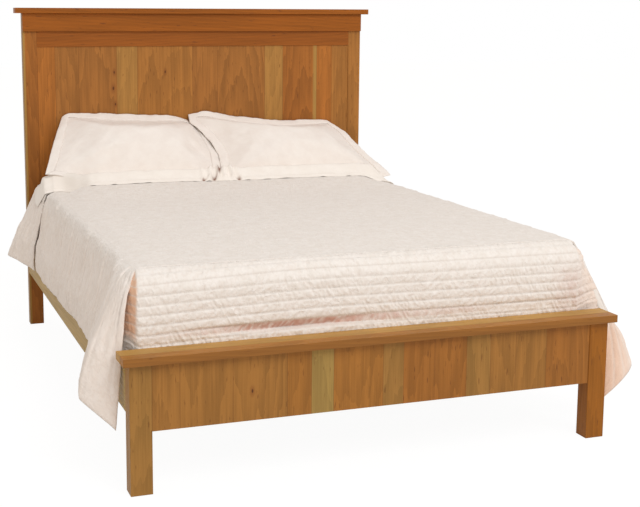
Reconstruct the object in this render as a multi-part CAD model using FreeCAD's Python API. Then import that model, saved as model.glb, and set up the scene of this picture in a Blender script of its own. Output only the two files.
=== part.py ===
import FreeCAD, Part
import math
import os

Vector = FreeCAD.Vector

# Mattress set, queen size, which the whole bed is built round
mattress_width = 1524
mattress_length = 2032
mattress_height = 215
mattress_corner_radius = 70
mattress_edge_radius = 57
foundation_height = 133
foundation_corner_radius = 45
foundation_edge_radius = 10
soft_gap = 0.3

# Room left round the mattress, inside the side rails and at each end
mattress_side_gap = 32
head_gap = 5
foot_gap = 11
edge_ease = 1.5

# Footboard
leg_width = 68
leg_thickness = 58
leg_height = 404
footboard_panel_bottom = 195
footboard_board_thickness = 22
footboard_panel_recess = 3
footboard_reveal = 2
footboard_cap_thickness = 25
footboard_cap_overhang = 22
cap_front_strip = 44
cap_rear_strip = 60
batten_thickness = 28
batten_rise = 30
batten_drop = 19
footboard_board_shares = (86, 166, 175, 79, 74, 168, 71, 109, 115, 87, 94, 115, 165)
footboard_reveal_shares = (1, 1, 1, 1, 0, 1, 0, 1, 1, 1, 1, 1, 1)

# Headboard
post_width = 62
post_thickness = 46
headboard_height = 1450
headboard_cap_thickness = 24
headboard_cap_end_overhang = 32
headboard_cap_front_overhang = 25
fascia_thickness = 10
fascia_height = 81
headboard_rail_thickness = 28
upper_rail_height = 149
lower_rail_bottom = 260
lower_rail_height = 120
headboard_board_thickness = 20
headboard_panel_recess = 4
tongue_thickness = 8
groove_depth = 10
tongue_play = 1
headboard_board_shares = (81, 107, 176, 97, 107, 158, 122, 236, 93, 175, 79, 85)

# Mortise and tenon joints of the rails and the batten
tenon_length = 30
tenon_thickness = 12
tenon_shoulder = 10
mortise_play = 2

# Side rails, ledgers and slats
rail_thickness = 26
rail_height = 155
rail_drop = 4
ledger_size = 28
ledger_rise = 12
ledger_end_gap = 60
slat_count = 9
slat_width = 90
slat_thickness = 19
slat_end_gap = 4
slat_end_margin = 70

# Centre beam, its legs and their screw-in levelling feet
beam_width = 45
beam_height = 60
beam_tenon_size = 22
beam_tenon_height = 25
centre_leg_place_shares = (0.32, 0.68)
leveller_pad_radius = 20
leveller_pad_height = 10
leveller_pad_ease = 2
leveller_stem_radius = 5
leveller_stem_length = 45
leveller_play = 0.05
leveller_bore_depth = 62

# Steel hook plates in the rail ends and slotted plates in the legs and posts
plate_width = 18
plate_height = 120
plate_thickness = 3
hook_thickness = 4
hook_neck_height = 16
hook_drop = 9
hook_play = 0.4
hook_place_shares = (0.25, 0.62)
plate_screw_place_shares = (0.08, 0.92)

# Countersunk wood screws
screw_radius = 2
screw_head_radius = 4
screw_head_depth = 2.5
plate_screw_length = 28
frame_screw_length = 38

# Coverlet, sewn in channels along its foot drop and slit at its corners
coverlet_thickness = 9
coverlet_roll_inset = 12
coverlet_head_gap = 60
foot_hem_tuck = 12
channel_pitch = 32
channel_depth = 3
drop_clearance = 1
side_clearance = 30
side_hem_height = 308
side_fold_depth = 6
side_fold_count = 7
side_flare_length = 260
corner_flare_reach = 208
corner_hem_height = 280
corner_turn_degrees = 13
corner_lead = 40
flap_tip_height = 195
flap_turn_degrees = 38
flap_clearance = 10
flap_cap_share = 0.8
head_flap_length = 225
head_flap_slit = 8
head_flap_reach = 162
head_flap_hem_height = 330
drop_down_shares = (0, 0.02, 0.09, 0.26, 0.54, 0.70, 0.85, 1)
drop_out_shares = (0, 0.22, 0.36, 0.50, 0.72, 0.88, 0.96, 1)
flap_out_shares = (0, 0.20, 0.38, 0.62, 0.90, 0.96, 0.99, 1)

# Top sheet, turned down over the coverlet in front of the pillows
sheet_thickness = 3
sheet_band_width = 105
sheet_side_clearance = 5

# Pillows in flanged shams, leaning on the headboard
pillow_width = 656
pillow_height = 428
pillow_front_crown = 105
pillow_back_crown = 50
pillow_flange = 46
pillow_flange_thickness = 5
pillow_flange_corner = 40
pillow_lean_degrees = 36
pillow_gap = 22
pillow_along_shares = (-1, -0.92, -0.62, 0, 0.62, 0.92, 1)
pillow_crown_shares = (0.08, 0.55, 0.92, 1, 0.92, 0.55, 0.08)
pillow_height_shares = (1, 0.985, 0.95, 0.93, 0.95, 0.985, 1)

# Places along the bed, with the origin on the floor under the middle of the frame
half_width = mattress_width / 2 + mattress_side_gap + rail_thickness
cap_reach = cap_front_strip + cap_rear_strip - footboard_cap_overhang
face_spacing = cap_reach + foot_gap + mattress_length + head_gap
overall_length = footboard_cap_overhang + face_spacing + post_thickness
foot_face = footboard_cap_overhang - overall_length / 2
head_face = foot_face + face_spacing
leg_back = foot_face + leg_thickness
mattress_back = head_face - head_gap
mattress_front = mattress_back - mattress_length
post_top = headboard_height - headboard_cap_thickness
upper_rail_bottom = post_top - upper_rail_height
lower_rail_top = lower_rail_bottom + lower_rail_height
post_inner = half_width - post_width
leg_inner = half_width - leg_width
rail_inner = half_width - rail_thickness
rail_middle = half_width - rail_thickness / 2

# Heights of the side rails, and of the stack from the slats up
rail_top = leg_height - rail_drop
rail_bottom = rail_top - rail_height
ledger_bottom = rail_bottom + ledger_rise
slat_bottom = ledger_bottom + ledger_size
slat_top = slat_bottom + slat_thickness
foundation_bottom = slat_top + soft_gap
mattress_bottom = foundation_bottom + foundation_height + soft_gap
mattress_top = mattress_bottom + mattress_height
coverlet_bottom = mattress_top + soft_gap
coverlet_top = coverlet_bottom + coverlet_thickness
beam_bottom = slat_bottom - beam_height

# Places of the coverlet's rolled edges
roll_edge = mattress_width / 2 - coverlet_roll_inset
foot_roll_start = mattress_front + mattress_edge_radius
coverlet_head_end = head_face - coverlet_head_gap
side_slit = coverlet_head_end - head_flap_length
side_reach = half_width + side_clearance - roll_edge


def block(x_low, x_high, y_low, y_high, z_low, z_high):
    """A box between two corners, whichever way round each pair is given."""
    low = Vector(min(x_low, x_high), min(y_low, y_high), min(z_low, z_high))
    return Part.makeBox(abs(x_high - x_low), abs(y_high - y_low), abs(z_high - z_low), low)


def eased_block(*sides):
    """A board with all its edges slightly rounded."""
    board = block(*sides)
    return board.makeFillet(edge_ease, board.Edges)


def mirrored(shape):
    """The left-hand copy of a right-hand piece."""
    return shape.mirror(Vector(0, 0, 0), Vector(1, 0, 0))


def with_mirror(shapes):
    """Right-hand pieces followed by their left-hand copies."""
    return shapes + [mirrored(shape) for shape in shapes]


def padded_block(width, length, height, corner_radius, edge_radius, y_low, z_low):
    """An upholstered block with rounded corners and rounded top and bottom edges."""
    core = block(-width / 2, width / 2, y_low, y_low + length, z_low, z_low + height)
    upright = [edge for edge in core.Edges if edge.BoundBox.ZLength > height / 2]
    core = core.makeFillet(corner_radius, upright)
    rims = [edge for edge in core.Edges if edge.BoundBox.ZLength < height / 2]
    return core.makeFillet(edge_radius, rims)


def screw(head_centre, direction, length):
    """A countersunk screw with its head flush at head_centre, driven along direction."""
    head = Part.makeCone(screw_head_radius, screw_radius, screw_head_depth, head_centre, direction)
    neck = head_centre + direction * screw_head_depth
    shank = Part.makeCylinder(screw_radius, length - screw_head_depth, neck, direction)
    return head.fuse(shank).removeSplitter()


def spread(low, high, shares):
    """Edges of pieces side by side from low to high, in proportion to shares."""
    unit = (high - low) / sum(shares)
    edges = [low]
    for share in shares:
        edges.append(edges[-1] + share * unit)
    return edges


class HookJoint:
    """One hooked joint between the end of the right side rail and a leg or post."""

    def __init__(self, y_face, way):
        self.y_face = y_face
        self.way = way
        self.low = rail_bottom + (rail_height - plate_height) / 2

    def plate(self, way):
        """A plate's plain block on one side of the joint's face."""
        x_low = rail_middle - plate_width / 2
        x_high = rail_middle + plate_width / 2
        y_far = self.y_face + way * plate_thickness
        return block(x_low, x_high, self.y_face, y_far, self.low, self.low + plate_height)

    def screws(self, way):
        """The two screws that hold the plate on one side of the joint's face."""
        places = [self.low + share * plate_height for share in plate_screw_place_shares]
        axis = Vector(0, way, 0)
        return [screw(Vector(rail_middle, self.y_face, z), axis, plate_screw_length) for z in places]

    def hooks(self):
        """The two hooks, each a neck through the slot and a tongue down behind it."""
        behind = self.y_face + self.way * (plate_thickness + hook_play)
        tip = behind + self.way * hook_thickness
        x_low = rail_middle - hook_thickness / 2
        x_high = rail_middle + hook_thickness / 2
        pieces = []
        for share in hook_place_shares:
            seat = self.low + share * plate_height
            top = seat + hook_neck_height
            pieces.append(block(x_low, x_high, self.y_face, tip, seat, top))
            pieces.append(block(x_low, x_high, behind, tip, seat - hook_drop, top))
        return pieces

    def slots(self):
        """Room for the hooks: slots through the plate and pockets in the wood behind it."""
        x_low = rail_middle - hook_thickness / 2 - hook_play
        x_high = rail_middle + hook_thickness / 2 + hook_play
        behind = self.y_face + self.way * plate_thickness
        floor = behind + self.way * (hook_play + hook_thickness + mortise_play)
        room = []
        for share in hook_place_shares:
            seat = self.low + share * plate_height
            top = seat + hook_neck_height + hook_drop
            room.append(block(x_low, x_high, self.y_face, behind, seat, top))
            room.append(block(x_low, x_high, behind, floor, seat - hook_drop - hook_play, top))
        return room

    def hook_plate(self):
        """The plate in the rail's end with its two hooks."""
        return self.plate(-self.way).cut(self.screws(-self.way)).fuse(self.hooks()).removeSplitter()

    def slot_plate(self):
        """The slotted plate let into the leg or post."""
        return self.plate(self.way).cut(self.screws(self.way) + self.slots())

    def rail_cuts(self):
        """What the joint takes out of the rail's end."""
        return [self.plate(-self.way)] + self.screws(-self.way)

    def upright_cuts(self):
        """What the joint takes out of the leg or post."""
        return [self.plate(self.way)] + self.screws(self.way) + self.slots()


def rail_with_tenons(inner, y_low, thickness, z_low, z_high):
    """A cross rail between two uprights, with a tenon at each end."""
    rail = block(-inner, inner, y_low, y_low + thickness, z_low, z_high)
    return rail.fuse(tenons(inner, y_low, thickness, z_low, z_high, 0)).removeSplitter()


def tenons(inner, y_low, thickness, z_low, z_high, play):
    """The tenons of a cross rail, or their mortises when play is added to their length."""
    y_tenon = y_low + (thickness - tenon_thickness) / 2
    reach = inner + tenon_length + play
    tenon_sides = (y_tenon, y_tenon + tenon_thickness, z_low + tenon_shoulder, z_high - tenon_shoulder)
    return with_mirror([block(inner, reach, *tenon_sides)])


def groove(z_low, z_high):
    """The groove in a headboard rail that takes the boards' tongues."""
    y_low = head_face + headboard_panel_recess + (headboard_board_thickness - tongue_thickness) / 2
    return block(-post_inner, post_inner, y_low, y_low + tongue_thickness, z_low, z_high)


def headboard(nodes, joint):
    """Posts, rails, boards, fascia and cap of the headboard."""
    upper = (post_inner, head_face, headboard_rail_thickness, upper_rail_bottom, post_top)
    lower = (post_inner, head_face, headboard_rail_thickness, lower_rail_bottom, lower_rail_top)
    post = eased_block(post_inner, half_width, head_face, head_face + post_thickness, 0, post_top)
    mortises = [tenons(*rail, mortise_play)[0] for rail in (upper, lower)]
    post = post.cut(mortises + joint.upright_cuts())
    nodes["headboard_post_right"] = post
    nodes["headboard_post_left"] = mirrored(post)

    upper_groove = groove(upper_rail_bottom, upper_rail_bottom + groove_depth)
    lower_groove = groove(lower_rail_top - groove_depth, lower_rail_top)
    nodes["headboard_upper_rail"] = rail_with_tenons(*upper).cut(upper_groove)
    nodes["headboard_lower_rail"] = rail_with_tenons(*lower).cut(lower_groove)

    tongue_reach = groove_depth - tongue_play
    y_front = head_face + headboard_panel_recess
    y_back = y_front + headboard_board_thickness
    y_tongue = y_front + (headboard_board_thickness - tongue_thickness) / 2
    tongue_low = lower_rail_top - tongue_reach
    tongue_high = upper_rail_bottom + tongue_reach
    edges = spread(-post_inner, post_inner, headboard_board_shares)
    for number, (left, right) in enumerate(zip(edges, edges[1:]), 1):
        face = block(left, right, y_front, y_back, lower_rail_top, upper_rail_bottom)
        tongue = block(left, right, y_tongue, y_tongue + tongue_thickness, tongue_low, tongue_high)
        nodes[f"headboard_board_{number:02d}"] = face.fuse(tongue).removeSplitter()

    fascia_sides = (-half_width, half_width, head_face - fascia_thickness, head_face)
    nodes["headboard_fascia"] = eased_block(*fascia_sides, post_top - fascia_height, post_top)
    cap_end = half_width + headboard_cap_end_overhang
    cap_front = head_face - headboard_cap_front_overhang
    cap_sides = (-cap_end, cap_end, cap_front, head_face + post_thickness)
    nodes["headboard_cap"] = eased_block(*cap_sides, post_top, headboard_height)


def footboard(nodes, joint):
    """Legs, batten, boards and two-strip cap of the footboard."""
    y_board = foot_face + footboard_panel_recess
    y_batten = y_board + footboard_board_thickness
    batten_low = footboard_panel_bottom + batten_rise
    batten = (leg_inner, y_batten, batten_thickness, batten_low, leg_height - batten_drop)
    leg = eased_block(leg_inner, half_width, foot_face, leg_back, 0, leg_height)
    leg = leg.cut(tenons(*batten, mortise_play)[:1] + joint.upright_cuts())
    nodes["footboard_leg_right"] = leg
    nodes["footboard_leg_left"] = mirrored(leg)
    nodes["footboard_batten"] = rail_with_tenons(*batten)

    edges = spread(-leg_inner, leg_inner, footboard_board_shares)
    spans = zip(edges, edges[1:], footboard_reveal_shares)
    for number, (left, right, reveal_share) in enumerate(spans, 1):
        top = leg_height - footboard_reveal * reveal_share
        board = block(left, right, y_board, y_batten, footboard_panel_bottom, top)
        nodes[f"footboard_board_{number:02d}"] = board

    cap_end = half_width + footboard_cap_overhang
    cap_front = foot_face - footboard_cap_overhang
    cap_seam = cap_front + cap_front_strip
    cap_top = leg_height + footboard_cap_thickness
    nodes["footboard_cap_front"] = eased_block(-cap_end, cap_end, cap_front, cap_seam, leg_height, cap_top)
    cap_back = cap_seam + cap_rear_strip
    nodes["footboard_cap_rear"] = eased_block(-cap_end, cap_end, cap_seam, cap_back, leg_height, cap_top)


def slat_places():
    """Middles of the slats along the bed."""
    first = mattress_front + slat_end_margin
    step = (mattress_length - 2 * slat_end_margin) / (slat_count - 1)
    return [first + step * number for number in range(slat_count)]


def deck(nodes, head_joint, foot_joint):
    """Side rails, ledgers, slats, centre beam, its legs and feet, and the screws."""
    places = slat_places()
    middles = [(low + high) / 2 for low, high in zip(places, places[1:])][::2]
    ledger_middle = rail_inner - ledger_size / 2
    inward = Vector(1, 0, 0)
    down = Vector(0, 0, -1)
    ledger_height = ledger_bottom + ledger_size / 2
    ledger_face = rail_inner - ledger_size
    ledger_heads = [Vector(ledger_face, y, ledger_height) for y in middles]
    ledger_screws = [screw(head, inward, frame_screw_length) for head in ledger_heads]
    end_screws = [screw(Vector(ledger_middle, y, slat_top), down, frame_screw_length) for y in places]
    beam_screws = [screw(Vector(0, y, slat_top), down, frame_screw_length) for y in places]

    rail = eased_block(rail_inner, half_width, leg_back, head_face, rail_bottom, rail_top)
    rail = rail.cut(head_joint.rail_cuts() + foot_joint.rail_cuts() + ledger_screws)
    ledger_span = (leg_back + ledger_end_gap, head_face - ledger_end_gap)
    ledger = block(ledger_face, rail_inner, *ledger_span, ledger_bottom, slat_bottom)
    ledger = ledger.cut(ledger_screws + end_screws)
    for name, piece in (("side_rail", rail), ("slat_ledger", ledger)):
        nodes[f"{name}_right"] = piece
        nodes[f"{name}_left"] = mirrored(piece)

    slat_end = rail_inner - slat_end_gap
    slat_screws = with_mirror(end_screws) + beam_screws
    slats = []
    for y in places:
        slat = block(-slat_end, slat_end, y - slat_width / 2, y + slat_width / 2, slat_bottom, slat_top)
        slats.append(slat.cut(slat_screws))
    nodes["slats"] = Part.makeCompound(slats)

    beam_front = places[0] - slat_width / 2
    beam_back = places[-1] + slat_width / 2
    beam = block(-beam_width / 2, beam_width / 2, beam_front, beam_back, beam_bottom, slat_bottom)
    beam = beam.cut(beam_screws)
    legs = []
    for name, share in zip(("front", "rear"), centre_leg_place_shares):
        y = beam_front + share * (beam_back - beam_front)
        leg, tenon, foot = centre_leg(y)
        beam = beam.cut(tenon)
        legs.append(leg)
        nodes[f"levelling_foot_{name}"] = foot
    nodes["centre_beam"] = beam
    nodes["centre_legs"] = Part.makeCompound(legs)

    joints = (head_joint, foot_joint)
    plate_screws = [piece for joint in joints for way in (1, -1) for piece in joint.screws(way)]
    nodes["rail_hook_plates"] = Part.makeCompound(with_mirror([joint.hook_plate() for joint in joints]))
    nodes["post_slot_plates"] = Part.makeCompound(with_mirror([joint.slot_plate() for joint in joints]))
    nodes["plate_screws"] = Part.makeCompound(with_mirror(plate_screws))
    nodes["ledger_screws"] = Part.makeCompound(with_mirror(ledger_screws))
    nodes["slat_screws"] = Part.makeCompound(slat_screws)


def centre_leg(y):
    """One leg under the beam, its tenon, and its levelling foot, screwed right in."""
    half_leg = beam_width / 2
    half_tenon = beam_tenon_size / 2
    body = block(-half_leg, half_leg, y - half_leg, y + half_leg, leveller_pad_height, beam_bottom)
    tenon_top = beam_bottom + beam_tenon_height
    tenon = block(-half_tenon, half_tenon, y - half_tenon, y + half_tenon, beam_bottom, tenon_top)
    seat = Vector(0, y, leveller_pad_height)
    bore = Part.makeCylinder(leveller_stem_radius + leveller_play, leveller_bore_depth, seat)
    leg = body.fuse(tenon).removeSplitter().cut(bore)
    pad = Part.makeCylinder(leveller_pad_radius, leveller_pad_height, Vector(0, y, 0))
    top_rim = [edge for edge in pad.Edges if edge.BoundBox.ZMin > leveller_pad_height / 2]
    pad = pad.makeFillet(leveller_pad_ease, top_rim)
    stem = Part.makeCylinder(leveller_stem_radius, leveller_stem_length, seat)
    return leg, tenon, pad.fuse(stem).removeSplitter()


def polygon_wire(points):
    """A closed wire of straight sides."""
    return Part.makePolygon(points + points[:1])


def inner_line(outer, thickness):
    """A cloth's inner line, one thickness in from its outer line, square at its top."""
    inner = [(outer[0][0], outer[0][1] - thickness)]
    ends = zip(outer, outer[2:] + outer[-1:])
    for middle, (before, after) in zip(outer[1:], ends):
        run = after[0] - before[0]
        fall = after[1] - before[1]
        length = math.hypot(run, fall)
        inner.append((middle[0] + thickness * fall / length, middle[1] - thickness * run / length))
    return inner


def hanging_section(y, turn_degrees, reach, hem_height, out_shares):
    """A side drop's closed section, standing on the rolled edge and turned towards the foot."""
    fall = coverlet_top - hem_height
    outer = [(out * reach, coverlet_top - down * fall) for out, down in zip(out_shares, drop_down_shares)]
    line = outer + inner_line(outer, coverlet_thickness)[::-1]
    turn = math.radians(turn_degrees)
    return polygon_wire(
        [Vector(roll_edge + out * math.cos(turn), y - out * math.sin(turn), z) for out, z in line]
    )


def side_drop():
    """The right side drop with its shallow folds, and its slit corner flaring outside the leg."""
    sections = []
    flare_start = foot_roll_start + side_flare_length
    for number in range(side_fold_count):
        y = side_slit + (flare_start - side_slit) * number / (side_fold_count - 1)
        reach = side_reach + side_fold_depth * (-1) ** number
        sections.append(hanging_section(y, 0, reach, side_hem_height, drop_out_shares))
    corner = (corner_turn_degrees, corner_flare_reach, corner_hem_height, drop_out_shares)
    sections.append(hanging_section(foot_roll_start + corner_lead, *corner))
    flap_turn = math.radians(flap_turn_degrees)
    cap_end = half_width + footboard_cap_overhang
    flap_reach = (cap_end + flap_clearance - roll_edge) / math.cos(flap_turn) / flap_cap_share
    edge = (flap_turn_degrees, flap_reach, flap_tip_height, flap_out_shares)
    sections.append(hanging_section(foot_roll_start, *edge))
    return Part.makeLoft(sections, True, True)


def head_flap():
    """The right flap of the coverlet between its slit and the headboard, flaring outwards."""
    near = hanging_section(side_slit + head_flap_slit, 0, side_reach, side_hem_height, drop_out_shares)
    far = hanging_section(coverlet_head_end, 0, head_flap_reach, head_flap_hem_height, drop_out_shares)
    return Part.makeLoft([near, far], True, True)


def foot_drop_point(along, out):
    """A point of the foot drop, so far along its inner face from the roll's start and so far out."""
    radius = mattress_edge_radius + drop_clearance
    quarter = radius * math.pi / 2
    if along < quarter:
        angle = along / radius
        y = foot_roll_start - (radius + out) * math.sin(angle)
        return Vector(-roll_edge, y, coverlet_bottom - radius + (radius + out) * math.cos(angle))
    return Vector(-roll_edge, foot_roll_start - radius - out, coverlet_bottom - radius - (along - quarter))


def foot_drop():
    """The foot drop between the slit corners, puffed between its sewn lines."""
    radius = mattress_edge_radius + drop_clearance
    length = radius * math.pi / 2 + coverlet_bottom - radius - (leg_height - foot_hem_tuck)
    count = round(length / channel_pitch)
    step = length / count
    sewn = coverlet_thickness - channel_depth
    edges = []
    for number in range(count):
        start = foot_drop_point(number * step, sewn)
        crest = foot_drop_point((number + 1 / 2) * step, coverlet_thickness)
        end = foot_drop_point((number + 1) * step, sewn)
        edges.append(Part.Arc(start, crest, end).toShape())
    hem = foot_drop_point(length, 0)
    turn = foot_drop_point(radius * math.pi / 2, 0)
    half_turn = foot_drop_point(radius * math.pi / 4, 0)
    head = foot_drop_point(0, 0)
    edges.append(Part.LineSegment(foot_drop_point(length, sewn), hem).toShape())
    edges.append(Part.LineSegment(hem, turn).toShape())
    edges.append(Part.Arc(turn, half_turn, head).toShape())
    edges.append(Part.LineSegment(head, foot_drop_point(0, sewn)).toShape())
    return Part.Face(Part.Wire(edges)).extrude(Vector(2 * roll_edge, 0, 0))


def turned_sheet(y_low):
    """The turned-down band of the top sheet, its ends hanging over the coverlet's edges."""
    low = coverlet_top + soft_gap
    top = low + sheet_thickness
    band = block(-roll_edge, roll_edge, y_low, y_low + sheet_band_width, low, top)
    last_out = drop_out_shares[3]
    last_down = drop_down_shares[3]
    reach = last_out * side_reach + side_fold_depth + sheet_side_clearance
    fall = last_down * (coverlet_top - side_hem_height) + top - coverlet_top
    rows = zip(drop_out_shares[:4], drop_down_shares[:4])
    outer = [(out / last_out * reach, top - down / last_down * fall) for out, down in rows]
    line = outer + inner_line(outer, sheet_thickness)[::-1]
    section = polygon_wire([Vector(roll_edge + out, y_low, z) for out, z in line])
    hanging_end = Part.Face(section).extrude(Vector(0, sheet_band_width, 0))
    return band.fuse(with_mirror([hanging_end])).removeSplitter()


def pillow_section(along_share, crown_share, height_share):
    """A pillow's closed section across its width: a full front arc and a flatter back arc."""
    x = along_share * pillow_width / 2
    half = height_share * pillow_height / 2
    low = Vector(x, -half, 0)
    high = Vector(x, half, 0)
    front = Part.Arc(low, Vector(x, 0, crown_share * pillow_front_crown), high)
    back = Part.Arc(high, Vector(x, 0, -crown_share * pillow_back_crown), low)
    return Part.Wire([front.toShape(), back.toShape()])


def pillow(side, rest_height):
    """A crowned pillow in a flanged sham, its foot on the bed and its top edge on the headboard."""
    rows = zip(pillow_along_shares, pillow_crown_shares, pillow_height_shares)
    body = Part.makeLoft([pillow_section(*row) for row in rows], True)
    half_across = pillow_width / 2 + pillow_flange
    half_high = pillow_height / 2 + pillow_flange
    half_thick = pillow_flange_thickness / 2
    flange = block(-half_across, half_across, -half_high, half_high, -half_thick, half_thick)
    corners = [edge for edge in flange.Edges if edge.BoundBox.ZLength > half_thick]
    sham = body.fuse(flange.makeFillet(pillow_flange_corner, corners)).removeSplitter()
    sham.rotate(Vector(0, 0, 0), Vector(1, 0, 0), pillow_lean_degrees)
    box = sham.BoundBox
    back = head_face + headboard_panel_recess - soft_gap
    middle = half_across + pillow_gap / 2
    sham.translate(Vector(side * middle, back - box.YMax, rest_height + soft_gap - box.ZMin))
    return sham


def bedding(nodes):
    """Foundation, mattress, coverlet, turned-down sheet and pillows."""
    plan = (mattress_width, mattress_length)
    foundation_form = (foundation_height, foundation_corner_radius, foundation_edge_radius)
    mattress_form = (mattress_height, mattress_corner_radius, mattress_edge_radius)
    nodes["foundation"] = padded_block(*plan, *foundation_form, mattress_front, foundation_bottom)
    nodes["mattress"] = padded_block(*plan, *mattress_form, mattress_front, mattress_bottom)

    top_sides = (-roll_edge, roll_edge, foot_roll_start, coverlet_head_end)
    nodes["coverlet_top"] = block(*top_sides, coverlet_bottom, coverlet_top)
    nodes["coverlet_drop_foot"] = foot_drop()
    drop = Part.makeCompound([side_drop(), head_flap()])
    nodes["coverlet_drop_right"] = drop
    nodes["coverlet_drop_left"] = mirrored(drop)

    sheet_top = coverlet_top + soft_gap + sheet_thickness
    nodes["pillow_right"] = pillow(1, sheet_top)
    nodes["pillow_left"] = pillow(-1, sheet_top)
    pillow_foot = nodes["pillow_right"].BoundBox.YMin
    nodes["top_sheet"] = turned_sheet(pillow_foot - sheet_band_width / 2)


def build():
    """All the bed's pieces by name."""
    nodes = {}
    head_joint = HookJoint(head_face, 1)
    foot_joint = HookJoint(leg_back, -1)
    headboard(nodes, head_joint)
    footboard(nodes, foot_joint)
    deck(nodes, head_joint, foot_joint)
    bedding(nodes)
    return nodes


os.makedirs("parts", exist_ok=True)
for node_name, node_shape in build().items():
    node_shape.exportStep(f"parts/{node_name}.step")
    print(node_name, len(node_shape.Solids), node_shape.isValid(), round(node_shape.Volume))
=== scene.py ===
"""A cherry bed dressed with its bedding: oiled boards, a quilted coverlet, a turned-down sheet and pillows."""

import logging
import math
from dataclasses import dataclass, field
from enum import Enum

import bmesh
import bpy
import numpy as np
from bpy.types import Material, Mesh, Node, NodeSocket, NodeTree, Object
from mathutils import Matrix, Vector

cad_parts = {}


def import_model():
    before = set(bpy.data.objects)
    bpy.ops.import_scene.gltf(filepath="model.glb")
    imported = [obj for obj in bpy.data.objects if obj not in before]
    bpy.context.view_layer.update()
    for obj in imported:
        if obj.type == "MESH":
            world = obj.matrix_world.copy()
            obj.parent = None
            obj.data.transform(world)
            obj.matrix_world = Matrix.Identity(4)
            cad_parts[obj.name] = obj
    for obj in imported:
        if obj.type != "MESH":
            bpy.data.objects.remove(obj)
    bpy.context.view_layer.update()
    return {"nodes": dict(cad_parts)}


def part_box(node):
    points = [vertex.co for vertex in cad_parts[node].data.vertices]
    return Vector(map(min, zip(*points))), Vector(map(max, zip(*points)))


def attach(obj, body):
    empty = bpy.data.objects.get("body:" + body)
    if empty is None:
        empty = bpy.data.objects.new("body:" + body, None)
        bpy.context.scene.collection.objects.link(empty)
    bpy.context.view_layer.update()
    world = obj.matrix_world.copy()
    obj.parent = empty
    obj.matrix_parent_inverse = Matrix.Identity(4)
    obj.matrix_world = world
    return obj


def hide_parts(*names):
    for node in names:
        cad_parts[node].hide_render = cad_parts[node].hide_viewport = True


LOG = logging.getLogger("bed")
MM = 0.001
PHOTO_WIDTH = 640
PHOTO_HEIGHT = 507
FRAME_BODY = "frame"
CLOTH_MAP = "cloth"

Colour = tuple[float, float, float, float]
Pair = tuple[float, float]
Values = tuple[float, ...]


class Grain(Enum):
    """The axis that a board's fibres follow."""

    X = 0
    Y = 1
    Z = 2


class Tone(Enum):
    """Light and dark sides of a cherry board's colour."""

    CAP = ("#A45C1A", "#8D4F15")
    RED = ("#A05A1E", "#8B4E19")
    RUSSET = ("#AC6A2D", "#8F5724")
    BROWN = ("#AC7035", "#905D2B")
    AMBER = ("#B97230", "#9E6128")
    TAN = ("#B37738", "#98642E")
    OLIVE = ("#B48141", "#9D7038")
    WHEAT = ("#A77337", "#8F622E")
    HONEY = ("#AA7132", "#91602A")
    HAZEL = ("#A56A2E", "#8D5A26")
    MOSS = ("#A5773C", "#8D6632")
    PALE = ("#AB8A4B", "#947740")
    STRAW = ("#B38F3F", "#9E7E37")
    GINGER = ("#B27836", "#99672E")
    SAND = ("#C3954F", "#AC8346")
    CHESTNUT = ("#A3641F", "#8D561A")


class Edge(Enum):
    """A board's edge across its width, as seen from the front."""

    LEFT = 0
    RIGHT = 1


def linear(hex_colour: str) -> Colour:
    """Turns an sRGB hex colour into linear RGBA.

    Args:
        hex_colour: six hex digits after a hash sign.

    Returns:
        The linear colour with full alpha.
    """
    channels = [int(hex_colour[place:place + 2], 16) / 255 for place in (1, 3, 5)]
    red, green, blue = (c / 12.92 if c <= 0.04045 else ((c + 0.055) / 1.055) ** 2.4 for c in channels)
    return red, green, blue, 1.0


def add(tree: NodeTree, kind: str, settings: dict | None = None, inputs: dict | None = None) -> Node:
    """Adds a node with its settings and its inputs.

    Args:
        tree: the tree that gets the node.
        kind: the node's type name.
        settings: properties of the node by name.
        inputs: values or sockets for the node's inputs, by name or place; a socket is linked.

    Returns:
        The new node.
    """
    node = tree.nodes.new(kind)
    for name, value in (settings or {}).items():
        setattr(node, name, value)
    for key, value in (inputs or {}).items():
        if isinstance(value, NodeSocket):
            tree.links.new(value, node.inputs[key])
        else:
            node.inputs[key].default_value = value
    return node


def new_material(name: str) -> tuple[Material, NodeTree, Node]:
    """Makes an empty surface material.

    Args:
        name: the material's name.

    Returns:
        The material, its node tree and its principled shader.
    """
    material = bpy.data.materials.new(name)
    material.use_nodes = True
    tree = material.node_tree
    tree.nodes.clear()
    shader = add(tree, "ShaderNodeBsdfPrincipled")
    add(tree, "ShaderNodeOutputMaterial", inputs={"Surface": shader.outputs["BSDF"]})
    return material, tree, shader


def tinted(
    tree: NodeTree, colour: NodeSocket | Colour, tint: str, pattern: NodeSocket,
    limits: Pair, shares: Pair = (0.0, 1.0),
) -> NodeSocket:
    """Tints a colour by a pattern.

    Args:
        tree: the material's node tree.
        colour: the colour, or the socket that gives it.
        tint: the tint in hex.
        pattern: the socket that gives the pattern.
        limits: the pattern's values between which the tint changes.
        shares: the tint's share at each of those values.

    Returns:
        The socket of the tinted colour.
    """
    ranges = {"From Min": limits[0], "From Max": limits[1], "To Min": shares[0], "To Max": shares[1]}
    share = add(tree, "ShaderNodeMapRange", {"interpolation_type": "SMOOTHSTEP"}, {"Value": pattern} | ranges)
    colours = {0: share.outputs["Result"], 6: colour, 7: linear(tint)}
    return add(tree, "ShaderNodeMix", {"data_type": "RGBA"}, colours).outputs[2]


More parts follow.
